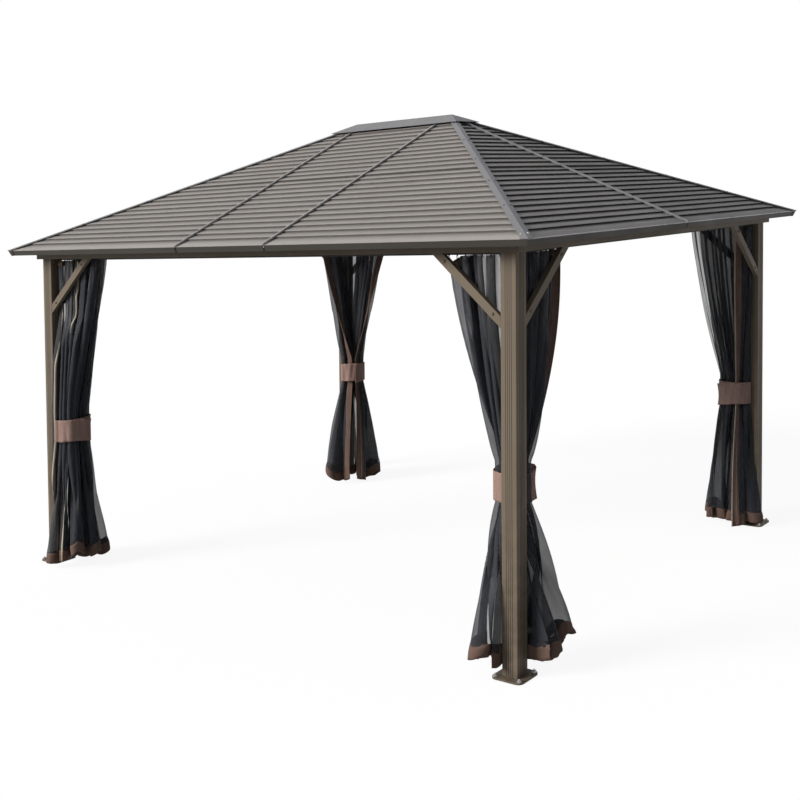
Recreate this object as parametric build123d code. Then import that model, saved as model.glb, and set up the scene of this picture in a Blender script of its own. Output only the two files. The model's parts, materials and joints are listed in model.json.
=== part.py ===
from build123d import *
from collections import namedtuple
import math
import os

# Hard-roof garden gazebo, millimetres, +Z up, ground at Z = 0.
# The long eave with the three roof columns faces -Y; X runs along it.

# Roof plan and heights, taken at the crease where the slope turns into the fascia
ROOF_LENGTH = 3646.0
ROOF_DEPTH = 3000.0
EAVE_Z = 1885.0
APEX_Z = 2535.0
RIDGE_HALF = 362.0
SEAM_X = 322.0

# Pressed steel roof sheets
SLATS = 26
LAP_SLAT = 13
SLAT_FIRST = 1.45
SLAT_STEP = 9.0
SLAT_UNDERCUT = 5.0
SHEET = 1.6
FASCIA = 32.0
LAP_REACH = 12.0
LAP_LIP = 4.0
LAP_RISE = 3.0
HIP_GAP = 10.0
SEAM_GAP = 3.0
RIDGE_GAP = 26.0
SHEET_TIP = 8.0

# Folded roof trims
TRIM_SHEET = 2.0
HIP_CAP_HALF = 25.0
HIP_CAP_LIFT = 4.5
HIP_CAP_SHORT = 40.0
HIP_CAP_FOLD = 36.0
HIP_WEB_HALF = 3.0
HIP_WEB_FOOT = 17.0
HIP_WEB_START = 40.0
SEAM_HALF = 4.0
SEAM_RISE = 8.5
SEAM_SHORT_LONG_SIDE = 40.0
SEAM_SHORT_END = 95.0
SEAM_FOOT = 1.5
RIDGE_CAP_LIFT = 14.0
RIDGE_CAP_REACH = 115.0

# Perimeter beams and posts, measured inward from the eave crease
BEAM_OUT_X = 118.0
BEAM_OUT_Y = 110.0
BEAM_WIDTH = 105.0
BEAM_Z0 = 1826.0
BEAM_HEIGHT = 38.0
BEAM_WALL = 3.0
POST_OUT_X = 143.0
POST_OUT_Y = 135.0
POST = 80.0
POST_BORE = 68.0
POST_RADIUS = 4.0
FLUTES = 4
FLUTE_WIDTH = 3.0
FLUTE_DEPTH = 1.0
FLUTE_PITCH = 10.0

# Base plates
PLATE = 156.0
PLATE_T = 8.0
PLATE_RADIUS = 28.0
ANCHOR_SPACING = 120.0
ANCHOR_HOLE = 12.0

# Knee braces
BRACE_REACH = 363.0
BRACE_DROP = 322.0
BRACE_DEPTH = 38.0
BRACE_T = 25.0
BRACE_INSET = 2.0

# Roof frame
RAFTER_WIDTH = 40.0
RAFTER_DEPTH = 45.0
RAFTER_DROP = 18.0
RAFTER_SETBACK = 8.0
RIDGE_BEAM_LENGTH = 840.0
RIDGE_BEAM_WIDTH = 60.0
RIDGE_BEAM_HEIGHT = 70.0
RIDGE_BEAM_WALL = 4.0
RIDGE_BEAM_DROP = 24.0

# Curtain rails under the beams, beside the braces
RAIL_WIDTH = 20.0
RAIL_HEIGHT = 12.0
RAIL_WALL = 2.0
RAIL_SLOT = 6.0
RAIL_INSET = 3.0
RAIL_END = 2.0

# Corner nets: heights, girths and how far they stand off the post
NET_TOP = 1807.0
NET_SHOULDER = 1440.0
NET_BELL = 500.0
NET_FOOT = 20.0
NET_LEAN = 0.5
NET_OUT = 40.0
NET_THICK = 46.0
NET_CLEAR = 10.0
RING_POINTS = 8
RING_START = 270.0
WAIST_RADIUS = 85.0
BELL_RADIUS = 145.0
HEM_RADIUS = 170.0
TIE_Z0 = 745.0
TIE_Z1 = 875.0
TIE_T = 4.0
TIE_MARGIN = 8.0

# Each net: reach of its top along X and along Y, the bundle's axis off the post corner, and how far
# its foot stands away from that axis
Net = namedtuple("Net", "reach_x reach_y axis_x axis_y foot_x foot_y")
NETS = {
    "front_left": Net(400.0, 280.0, 98.0, -15.0, 65.0, 15.0),
    "front_right": Net(310.0, 410.0, 20.0, 66.0, 0.0, 0.0),
    "back_left": Net(420.0, 300.0, 270.0, 235.0, 0.0, 0.0),
    "back_right": Net(340.0, 360.0, 58.0, 24.0, 30.0, 30.0),
}

FIT = 0.5
CUT_HEIGHT = 4000.0
CUT_REACH = 3500.0
TENT_FOOT = 1500.0
HALF_L = ROOF_LENGTH / 2
HALF_D = ROOF_DEPTH / 2
RISE = APEX_Z - EAVE_Z
END_RUN = HALF_L - RIDGE_HALF
HIP_LENGTH = math.hypot(END_RUN, HALF_D)
POST_X = HALF_L - POST_OUT_X - POST / 2
POST_Y = HALF_D - POST_OUT_Y - POST / 2
CORNERS = {
    "front_left": (-1, -1),
    "front_right": (1, -1),
    "back_left": (-1, 1),
    "back_right": (1, 1),
}
SIDES = {"front": 0, "right": 90, "back": 180, "left": 270}

# A roof side seen from outside: half eave, eave distance, run, half top edge, and the insets
# of beams and posts across the side and along it
Side = namedtuple("Side", "half depth run top beam_in beam_end post_end")
LONG_SIDE = Side(HALF_L, HALF_D, HALF_D, RIDGE_HALF, BEAM_OUT_Y, BEAM_OUT_X, POST_OUT_X + POST)
SHORT_SIDE = Side(HALF_D, HALF_L, END_RUN, 0.0, BEAM_OUT_X, BEAM_OUT_Y, POST_OUT_Y + POST)


def side_of(name):
    """Sizes of a named side."""
    return LONG_SIDE if name in ("front", "back") else SHORT_SIDE


def save(shapes, name):
    """Write one named piece of one or more solids."""
    whole = shapes[0] if len(shapes) == 1 else Compound(children=shapes)
    export_step(whole, f"parts/{name}.step")


def prism(points, z0=0.0, z1=CUT_HEIGHT):
    """Vertical prism over a plan outline."""
    face = make_face(Polyline(*points, close=True))
    return extrude(Pos(0, 0, z0) * face, amount=z1 - z0, dir=(0, 0, 1))


def plan_box(x0, y0, x1, y1):
    """Plan outline of a rectangle."""
    return [(x0, y0), (x1, y0), (x1, y1), (x0, y1)]


def turn(side, shape):
    """Turn a shape made on the front side to another side."""
    return Rot(0, 0, SIDES[side]) * shape


def tilt(points, run):
    """Slope coordinates (up the slope, off the slope) to (inward, height) from the crease."""
    pitch = math.atan2(RISE, run)
    c = math.cos(pitch)
    s = math.sin(pitch)
    return [(u * c - n * s, u * s + n * c) for u, n in points]


def bar_along_eave(size, outline, x0, x1):
    """Bar of an (inward, height) section along the eave of the front side."""
    section = [(x0, w - size.depth, EAVE_Z + h) for w, h in outline]
    return extrude(make_face(Polyline(*section, close=True)), amount=x1 - x0, dir=(1, 0, 0))


def slat_profile(run, first, last):
    """Clapboard section of a sheet between two slats; the first sheet carries the fascia."""
    step = math.hypot(RISE, run) / (SLATS - 1 + SLAT_FIRST)
    foot = (SLAT_FIRST - 1) * step
    lap = foot + first * step - LAP_REACH
    upper = [(lap, -LAP_LIP), (lap, LAP_RISE)] if first else [(0.0, -FASCIA), (0.0, 0.0)]
    for k in range(first + 1, last + 1):
        upper.append((foot + k * step + SLAT_UNDERCUT, -SLAT_STEP))
        upper.append((foot + k * step, 0.0))
    upper.pop()
    lower = [(u + SHEET, n - SHEET) for u, n in upper]
    lower[0] = (upper[0][0] + SHEET, upper[0][1])
    return tilt(upper + lower[::-1], run)


def column_outline(size, x0, x1):
    """Plan outline of one roof column; an open side follows the hip."""
    taper = (size.half - size.top) / size.run
    foot = size.half - HIP_GAP * math.hypot(1, taper)
    head = foot - (size.run - RIDGE_GAP) * taper
    y0 = -size.depth
    y1 = y0 + size.run - RIDGE_GAP
    low0 = -foot if x0 is None else x0
    high0 = min(-head, x1 - SHEET_TIP) if x0 is None else x0
    low1 = foot if x1 is None else x1
    high1 = max(head, x0 + SHEET_TIP) if x1 is None else x1
    return [(low0, y0), (low1, y0), (high1, y1), (high0, y1)]


def roof_columns():
    """All roof columns; each is a lower and an upper sheet that laps over it."""
    inner = SEAM_X - SEAM_GAP
    outer = SEAM_X + SEAM_GAP
    long_cols = [("left", None, -outer), ("centre", -inner, inner), ("right", outer, None)]
    short_cols = [("left", None, -SEAM_GAP), ("right", SEAM_GAP, None)]
    for side in SIDES:
        size = side_of(side)
        lower = bar_along_eave(size, slat_profile(size.run, 0, LAP_SLAT), -size.half, size.half)
        upper = bar_along_eave(size, slat_profile(size.run, LAP_SLAT, SLATS), -size.half, size.half)
        for name, x0, x1 in long_cols if size is LONG_SIDE else short_cols:
            column = prism(column_outline(size, x0, x1))
            sheets = [*(lower & column).solids(), *(upper & column).solids()]
            save([turn(side, sheet) for sheet in sheets], f"roof_{side}_{name}")


def tent(lift):
    """Solid hipped tent whose faces stand a vertical lift above the slat crests."""
    y_slope = RISE / HALF_D
    x_slope = RISE / END_RUN
    peak_y = EAVE_Z + HALF_D * y_slope + lift
    peak_x = EAVE_Z + HALF_L * x_slope + lift
    wide_y = (peak_y - TENT_FOOT) / y_slope
    wide_x = (peak_x - TENT_FOOT) / x_slope
    far = -CUT_REACH
    across = [(far, -wide_y, TENT_FOOT), (far, wide_y, TENT_FOOT), (far, 0, peak_y)]
    along = [(-wide_x, far, TENT_FOOT), (wide_x, far, TENT_FOOT), (0, far, peak_x)]
    gable_y = extrude(make_face(Polyline(*across, close=True)), amount=-2 * far, dir=(1, 0, 0))
    gable_x = extrude(make_face(Polyline(*along, close=True)), amount=-2 * far, dir=(0, 1, 0))
    return gable_y & gable_x


def shell(low, high):
    """Thin hipped shell between two lifts."""
    return tent(high) - tent(low)


def hip_strip(half_width, start, stop):
    """Plan strip along the hip of the front right corner, by distance from the eave corner."""
    ux = -END_RUN / HIP_LENGTH
    uy = HALF_D / HIP_LENGTH
    px = -uy * half_width
    py = ux * half_width
    ends = [(HALF_L + ux * d, uy * d - HALF_D) for d in (start, stop)]
    (ax, ay), (bx, by) = ends
    return [(ax + px, ay + py), (bx + px, by + py), (bx - px, by - py), (ax - px, ay - py)]


def mirror_to(shape, sx, sy):
    """Mirror a piece of the front right corner to the corner with these signs."""
    out = shape
    if sx < 0:
        out = mirror(out, about=Plane.YZ)
    if sy > 0:
        out = mirror(out, about=Plane.XZ)
    return out


def fascia_fold(size):
    """Tab over the fascia at the right end of the front side, up to the top of the hip cap."""
    near = -FIT
    far = near - TRIM_SHEET
    crown = (HIP_CAP_LIFT + TRIM_SHEET) * math.cos(math.atan2(RISE, size.run))
    section = tilt([(far, -FASCIA), (near, -FASCIA), (near, crown), (far, crown)], size.run)
    return bar_along_eave(size, section, size.half - HIP_CAP_FOLD, size.half + HIP_CAP_FOLD)


def hip_caps():
    """Folded caps along the hips with a web between the sheets; the foot turns down over the fascia corner."""
    overhang = HIP_CAP_LIFT + TRIM_SHEET
    x = HALF_L + overhang
    y = HALF_D + overhang
    plan = prism(plan_box(-x, -y, x, y))
    skin = shell(HIP_CAP_LIFT, HIP_CAP_LIFT + TRIM_SHEET)
    strip = prism(hip_strip(HIP_CAP_HALF, -HIP_CAP_FOLD, HIP_LENGTH - HIP_CAP_SHORT))
    core = shell(-HIP_WEB_FOOT, HIP_CAP_LIFT + TRIM_SHEET)
    web = core & prism(hip_strip(HIP_WEB_HALF, HIP_WEB_START, HIP_LENGTH - HIP_CAP_SHORT))
    run = (skin & strip & plan) + web
    ux = END_RUN / HIP_LENGTH
    uy = HALF_D / HIP_LENGTH
    out = (HALF_L + ux * CUT_REACH, -HALF_D - uy * CUT_REACH)
    deep = (HALF_L - ux * CUT_REACH, -HALF_D + uy * CUT_REACH)
    front_half = prism([out, deep, (-CUT_REACH, -CUT_REACH)])
    right_half = prism([out, deep, (CUT_REACH, CUT_REACH)])
    front_tab = fascia_fold(LONG_SIDE) & front_half
    right_tab = mirror(turn("right", fascia_fold(SHORT_SIDE)), about=Plane.XZ) & right_half
    cap = run + front_tab + right_tab
    for name, (sx, sy) in CORNERS.items():
        save([mirror_to(cap, sx, sy)], f"hip_cap_{name}")


def seam_strips():
    """T-shaped strips over the joints between roof columns."""
    web = shell(SEAM_FOOT - SLAT_STEP, SEAM_RISE)
    head = shell(HIP_CAP_LIFT, SEAM_RISE)
    thin = SEAM_GAP - FIT
    for side in SIDES:
        size = side_of(side)
        lines = (-SEAM_X, SEAM_X) if size is LONG_SIDE else (0.0,)
        short = SEAM_SHORT_LONG_SIDE if size is LONG_SIDE else SEAM_SHORT_END
        y0 = -size.depth
        y1 = y0 + size.run - short
        strips = []
        for x in lines:
            stem = web & turn(side, prism(plan_box(x - thin, y0, x + thin, y1)))
            flange = head & turn(side, prism(plan_box(x - SEAM_HALF, y0, x + SEAM_HALF, y1)))
            strips.extend((stem + flange).solids())
        save(strips, f"seam_strips_{side}")


def ridge_cap():
    """Hipped cap over the ridge, held off the sheets."""
    x = RIDGE_HALF + RIDGE_CAP_REACH * END_RUN / HALF_D
    y = RIDGE_CAP_REACH
    skin = shell(RIDGE_CAP_LIFT, RIDGE_CAP_LIFT + TRIM_SHEET)
    save([skin & prism(plan_box(-x, -y, x, y))], "ridge_cap")


def roof_frame():
    """Hip rafters, seam rafters and the ridge beam that carry the sheets."""
    body = shell(-RAFTER_DROP - RAFTER_DEPTH, -RAFTER_DROP)
    hub_x = RIDGE_BEAM_LENGTH / 2 + FIT
    hub_y = RIDGE_BEAM_WIDTH / 2 + FIT
    hub = prism(plan_box(-hub_x, -hub_y, hub_x, hub_y))
    x_in = HALF_L - BEAM_OUT_X - RAFTER_SETBACK
    y_in = HALF_D - BEAM_OUT_Y - RAFTER_SETBACK
    inside = prism(plan_box(-x_in, -y_in, x_in, y_in))
    half_w = RAFTER_WIDTH / 2
    strip = prism(hip_strip(half_w, 0, HIP_LENGTH - RAFTER_SETBACK))
    hip = (body & strip & inside) - hub
    for name, (sx, sy) in CORNERS.items():
        save([mirror_to(hip, sx, sy)], f"hip_rafter_{name}")
    for side in SIDES:
        size = side_of(side)
        lines = (-SEAM_X, SEAM_X) if size is LONG_SIDE else (0.0,)
        y0 = -size.depth + size.beam_in + RAFTER_SETBACK
        y1 = -hub_y if size is LONG_SIDE else -hub_x
        bars = []
        for x in lines:
            column = prism(plan_box(x - half_w, y0, x + half_w, y1))
            bars.extend((body & turn(side, column)).solids())
        save(bars, f"rafters_{side}")
    crown = APEX_Z - RAFTER_DROP - RIDGE_BEAM_WIDTH / 2 * RISE / HALF_D - RIDGE_BEAM_DROP
    wall = 2 * RIDGE_BEAM_WALL
    box = Box(RIDGE_BEAM_LENGTH, RIDGE_BEAM_WIDTH, RIDGE_BEAM_HEIGHT)
    bore = Box(RIDGE_BEAM_LENGTH - wall, RIDGE_BEAM_WIDTH - wall, RIDGE_BEAM_HEIGHT - wall)
    save([Pos(0, 0, crown - RIDGE_BEAM_HEIGHT / 2) * (box - bore)], "ridge_beam")


def beams():
    """Hollow perimeter beams, mitred at the corners."""
    for side in SIDES:
        size = side_of(side)
        y0 = -size.depth + size.beam_in
        y1 = y0 + BEAM_WIDTH
        end = size.half - size.beam_end - FIT
        short = end - BEAM_WIDTH
        bar = prism([(-end, y0), (end, y0), (short, y1), (-short, y1)], BEAM_Z0, BEAM_Z0 + BEAM_HEIGHT)
        hollow = Box(2 * size.half, BEAM_WIDTH - 2 * BEAM_WALL, BEAM_HEIGHT - 2 * BEAM_WALL)
        bore = Pos(0, (y0 + y1) / 2, BEAM_Z0 + BEAM_HEIGHT / 2) * hollow
        save([turn(side, bar - bore)], f"beam_{side}")


def post_section():
    """Fluted hollow square section."""
    face = RectangleRounded(POST, POST, POST_RADIUS) - Rectangle(POST_BORE, POST_BORE)
    flute = Rectangle(FLUTE_WIDTH, 2 * FLUTE_DEPTH)
    for angle in SIDES.values():
        for k in range(FLUTES):
            offset_x = (k - (FLUTES - 1) / 2) * FLUTE_PITCH
            face = face - Rot(0, 0, angle) * Pos(offset_x, POST / 2) * flute
    return face


def posts_and_plates():
    """Posts on square base plates with anchor holes."""
    z0 = PLATE_T + FIT
    post = extrude(Pos(0, 0, z0) * post_section(), amount=BEAM_Z0 - FIT - z0, dir=(0, 0, 1))
    outline = RectangleRounded(PLATE, PLATE, PLATE_RADIUS)
    for spot in GridLocations(ANCHOR_SPACING, ANCHOR_SPACING, 2, 2):
        outline = outline - spot * Circle(ANCHOR_HOLE / 2)
    plate = extrude(outline, amount=PLATE_T, dir=(0, 0, 1))
    for name, (sx, sy) in CORNERS.items():
        spot = Pos(sx * POST_X, sy * POST_Y, 0)
        save([spot * post], f"post_{name}")
        save([spot * plate], f"base_plate_{name}")


def brace_bar():
    """Diagonal bar from the post face at the origin to the beam above, in the XZ plane."""
    slant = math.hypot(BRACE_REACH, BRACE_DROP)
    wide = BRACE_DEPTH * slant / BRACE_DROP
    tall = BRACE_DEPTH * slant / BRACE_REACH
    low = (0, 0, -BRACE_DROP)
    far = (BRACE_REACH, 0, 0)
    outline = [low, far, (BRACE_REACH - wide, 0, 0), (0, 0, tall - BRACE_DROP)]
    face = make_face(Polyline(*outline, close=True))
    return Pos(0, -BRACE_T / 2, 0) * extrude(face, amount=BRACE_T, dir=(0, 1, 0))


def braces():
    """A pair of knee braces at each post."""
    bar = Pos(FIT, 0, -FIT) * brace_bar()
    half = POST / 2
    out = half - BRACE_INSET - BRACE_T / 2
    for name, (sx, sy) in CORNERS.items():
        x = sx * POST_X
        y = sy * POST_Y
        along_x = Pos(x - sx * half, y + sy * out, BEAM_Z0) * Rot(0, 0, 180 if sx > 0 else 0) * bar
        along_y = Pos(x + sx * out, y - sy * half, BEAM_Z0) * Rot(0, 0, 270 if sy > 0 else 90) * bar
        save([along_x, along_y], f"knee_braces_{name}")


def curtain_rails():
    """Slotted rails under the beams, open at the foot for the gliders."""
    middle_z = BEAM_Z0 - FIT - RAIL_HEIGHT / 2
    for side in SIDES:
        size = side_of(side)
        middle_y = -size.depth + size.beam_in + BEAM_WIDTH - RAIL_INSET - RAIL_WIDTH / 2
        length = 2 * (size.half - size.post_end - RAIL_END)
        bar = Box(length, RAIL_WIDTH, RAIL_HEIGHT)
        bore = Box(2 * length, RAIL_WIDTH - 2 * RAIL_WALL, RAIL_HEIGHT - 2 * RAIL_WALL)
        slot = Pos(0, 0, -RAIL_HEIGHT / 2) * Box(2 * length, RAIL_SLOT, 3 * RAIL_WALL)
        rail = Pos(0, middle_y, middle_z) * (bar - bore - slot)
        save([turn(side, rail)], f"curtain_rail_{side}")


def head_points(net):
    """L-shaped top of a net behind the two rails, as inward distances off the post corner."""
    a = net.reach_x
    b = net.reach_y
    c = NET_CLEAR
    o = -NET_OUT
    t = NET_THICK
    return [(c, o), (a, o), (a, t), (t, t), (t, b), (o, b), (o, c), (c, c)]


def off_post(net, k, a, b):
    """Point k of a section, moved clear of the post where it would stand in it."""
    if a >= NET_CLEAR or b >= NET_CLEAR:
        return a, b
    beside_post = net.axis_y < 0
    return (
        NET_CLEAR if beside_post or k in (0, 7) else a,
        NET_CLEAR if not beside_post and k in (6, 7) else b,
    )


def ring_points(net, radius, spread=0.0):
    """Round section about the bundle's axis or its foot, folded back where the post stands."""
    points = []
    for k in range(RING_POINTS):
        angle = math.radians(RING_START + 360 / RING_POINTS * k)
        a = net.axis_x + spread * net.foot_x + radius * math.cos(angle)
        b = net.axis_y + spread * net.foot_y + radius * math.sin(angle)
        points.append(off_post(net, k, a, b))
    return points


def shoulder_points(net):
    """Section between waist and top, kept behind the braces."""
    share = (NET_SHOULDER - TIE_Z1) / (NET_TOP - TIE_Z1)
    pairs = zip(ring_points(net, WAIST_RADIUS), head_points(net))
    mixed = [(p[0] + (q[0] - p[0]) * share, p[1] + (q[1] - p[1]) * share) for p, q in pairs]
    behind = [(max(a, -NET_OUT), max(b, -NET_OUT)) for a, b in mixed]
    return [off_post(net, k, a, b) for k, (a, b) in enumerate(behind)]


def corner_points(points, z):
    """Inward distances off the front right post corner as places at a height."""
    x = POST_X - POST / 2
    y = POST / 2 - POST_Y
    return [(x - a, y + b, z) for a, b in points]


def flat_face(points):
    """Face with straight edges."""
    return make_face(Polyline(*points, close=True))


def folded_skin(sections):
    """Closed solid of flat facets between stacked sections with as many points each."""
    faces = [flat_face(sections[0]), flat_face(sections[-1])]
    for low, high in zip(sections, sections[1:]):
        for k in range(len(low)):
            a = low[k - 1]
            b = low[k]
            c = high[k]
            d = high[k - 1]
            faces.append(flat_face([a, b, c]))
            faces.append(flat_face([a, c, d]))
    return Solid(Shell(faces))


def nets():
    """Nets gathered at the corners and the bands that tie them back."""
    for name, (sx, sy) in CORNERS.items():
        net = NETS[name]
        waist = ring_points(net, WAIST_RADIUS)
        levels = [
            (ring_points(net, HEM_RADIUS, 1.0), NET_FOOT),
            (ring_points(net, BELL_RADIUS, NET_LEAN), NET_BELL),
            (waist, TIE_Z0 - TIE_MARGIN),
            (waist, TIE_Z1 + TIE_MARGIN),
            (shoulder_points(net), NET_SHOULDER),
            (head_points(net), NET_TOP),
        ]
        body = folded_skin([corner_points(points, z) for points, z in levels])
        save([mirror_to(body, sx, sy)], f"net_{name}")
        seat = flat_face(corner_points(waist, TIE_Z0))
        inner = offset(seat, amount=FIT, kind=Kind.INTERSECTION)
        outer = offset(seat, amount=FIT + TIE_T, kind=Kind.INTERSECTION)
        band = extrude(outer - inner, amount=TIE_Z1 - TIE_Z0, dir=(0, 0, 1))
        save([mirror_to(band, sx, sy)], f"tie_back_{name}")


os.makedirs("parts", exist_ok=True)
posts_and_plates()
beams()
braces()
roof_frame()
roof_columns()
hip_caps()
seam_strips()
ridge_cap()
curtain_rails()
nets()
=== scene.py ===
import itertools
import json
import logging
import math
from dataclasses import dataclass, field
from enum import Enum

import bmesh
import bpy
import numpy as np
from mathutils import Matrix, Vector


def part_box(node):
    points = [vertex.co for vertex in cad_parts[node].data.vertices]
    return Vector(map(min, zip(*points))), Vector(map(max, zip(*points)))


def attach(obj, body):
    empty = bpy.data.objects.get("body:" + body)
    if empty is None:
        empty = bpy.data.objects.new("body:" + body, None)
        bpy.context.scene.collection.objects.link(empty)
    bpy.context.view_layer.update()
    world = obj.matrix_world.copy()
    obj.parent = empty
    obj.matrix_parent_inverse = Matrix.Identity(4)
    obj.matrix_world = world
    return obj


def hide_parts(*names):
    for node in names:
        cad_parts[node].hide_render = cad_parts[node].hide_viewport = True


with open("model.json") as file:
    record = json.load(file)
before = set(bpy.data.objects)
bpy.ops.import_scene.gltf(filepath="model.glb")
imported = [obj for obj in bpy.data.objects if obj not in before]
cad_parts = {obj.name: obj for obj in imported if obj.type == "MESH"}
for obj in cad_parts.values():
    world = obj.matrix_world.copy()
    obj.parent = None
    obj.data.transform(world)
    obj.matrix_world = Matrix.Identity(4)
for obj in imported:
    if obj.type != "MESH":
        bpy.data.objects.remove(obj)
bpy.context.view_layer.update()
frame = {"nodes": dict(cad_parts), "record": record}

LOG = logging.getLogger("gazebo")
BODY = "root"

Pair = tuple[float, float]
Plan = Pair
Triple = tuple[float, float, float]
Colour = Triple
Array = np.ndarray
Socket = bpy.types.NodeSocket


class Corner(Enum):
    """A corner of the gazebo: its name and the signs of X and Y there."""

    FRONT_LEFT = ("front_left", -1, -1)
    FRONT_RIGHT = ("front_right", 1, -1)
    BACK_LEFT = ("back_left", -1, 1)
    BACK_RIGHT = ("back_right", 1, 1)

    @property
    def label(self) -> str:
        """The corner's name in node names."""
        return self.value[0]

    @property
    def signs(self) -> tuple[int, int]:
        """The signs of X and Y at the corner."""
        return self.value[1], self.value[2]

    @property
    def sides(self) -> tuple[str, str]:
        """The long and the short side that meet at the corner."""
        long_side, short_side = self.label.split("_")
        return long_side, short_side

    def node(self, stem: str) -> str:
        """Returns the name that a node or piece with the given stem has at this corner."""
        return f"{stem}_{self.label}"

    def inner_faces(self) -> Plan:
        """Returns how far the post's inner faces stand from the middle, along X and along Y."""
        low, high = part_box(self.node("post"))
        return min(abs(low.x), abs(high.x)), min(abs(low.y), abs(high.y))


class Slot(Enum):
    """The record's material slots."""

    FRAME = "frame_coat"
    ROOF = "roof_steel"
    TRIM = "roof_trim"
    RAIL = "rail"
    NET = "net"
    BINDING = "binding"


@dataclass(frozen=True)
class RoofPlan:
    """The hipped roof's planes, at the crests of the slats."""

    half_length: float = 1.823
    half_depth: float = 1.5
    ridge_half: float = 0.362
    eave: float = 1.885
    apex: float = 2.535
    slats: int = 26
    lowest_slat: float = 1.45
    seam_x: float = 0.322
    cap_lift: float = 0.0065
    aside: float = 0.02

    @property
    def rise(self) -> float:
        """The roof's height from eave to apex."""
        return self.apex - self.eave

    @property
    def end_run(self) -> float:
        """How far the short slopes run in plan."""
        return self.half_length - self.ridge_half

    @property
    def slat_rise(self) -> float:
        """The height of one slat; the lowest one is taller."""
        return self.rise / (self.slats - 1 + self.lowest_slat)

    @property
    def first_slat(self) -> float:
        """The height at which the even slats would start."""
        return self.eave + (self.lowest_slat - 1.0) * self.slat_rise

    def long_normal(self, sy: int) -> Vector:
        """Returns the normal of the long slope on the given side of Y."""
        return Vector((0.0, sy * self.rise, self.half_depth)).normalized()

    def short_normal(self, sx: int) -> Vector:
        """Returns the normal of the short slope on the given side of X."""
        return Vector((sx * self.rise, 0.0, self.end_run)).normalized()

    def hip_spots(self, corner: Corner, share: float) -> list[tuple[Vector, Vector]]:
        """Returns a spot with its normal on each face of a hip cap.

        Args:
            corner: The corner that the hip rises from.
            share: How far up the hip, from 0 to 1.

        Returns:
            The spot and normal on the long slope's face, then on the short slope's face.
        """
        sx, sy = corner.signs
        x = self.half_length - self.end_run * share
        y = self.half_depth * (1.0 - share)
        z = self.eave + self.rise * share + self.cap_lift
        along = Vector((sx * (x - self.aside), sy * y, z))
        across = Vector((sx * x, sy * (y - self.aside), z))
        return [(along, self.long_normal(sy)), (across, self.short_normal(sx))]

    def seam_runs(self, ridge: Vector) -> list[tuple[Vector, Vector, Vector]]:
        """Returns the seams up to the ridge cap.

        Args:
            ridge: The ridge cap's far corner.

        Returns:
            The foot, top and normal of each seam, first on the long slopes and then on the short ones.
        """
        runs = []
        long_top = self.eave + self.rise * (1.0 - ridge.y / self.half_depth)
        for sx, sy in itertools.product((-1, 1), repeat=2):
            foot = Vector((sx * self.seam_x, sy * self.half_depth, self.eave))
            top = Vector((sx * self.seam_x, sy * ridge.y, long_top))
            runs.append((foot, top, self.long_normal(sy)))
        short_top = self.eave + self.rise * (self.half_length - ridge.x) / self.end_run
        for sx in (-1, 1):
            foot = Vector((sx * self.half_length, 0.0, self.eave))
            top = Vector((sx * ridge.x, 0.0, short_top))
            runs.append((foot, top, self.short_normal(sx)))
        return runs


def rgba(colour: Colour) -> tuple[float, float, float, float]:
    """Returns the colour with full alpha, as colour sockets take it."""
    return (*colour, 1.0)


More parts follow.
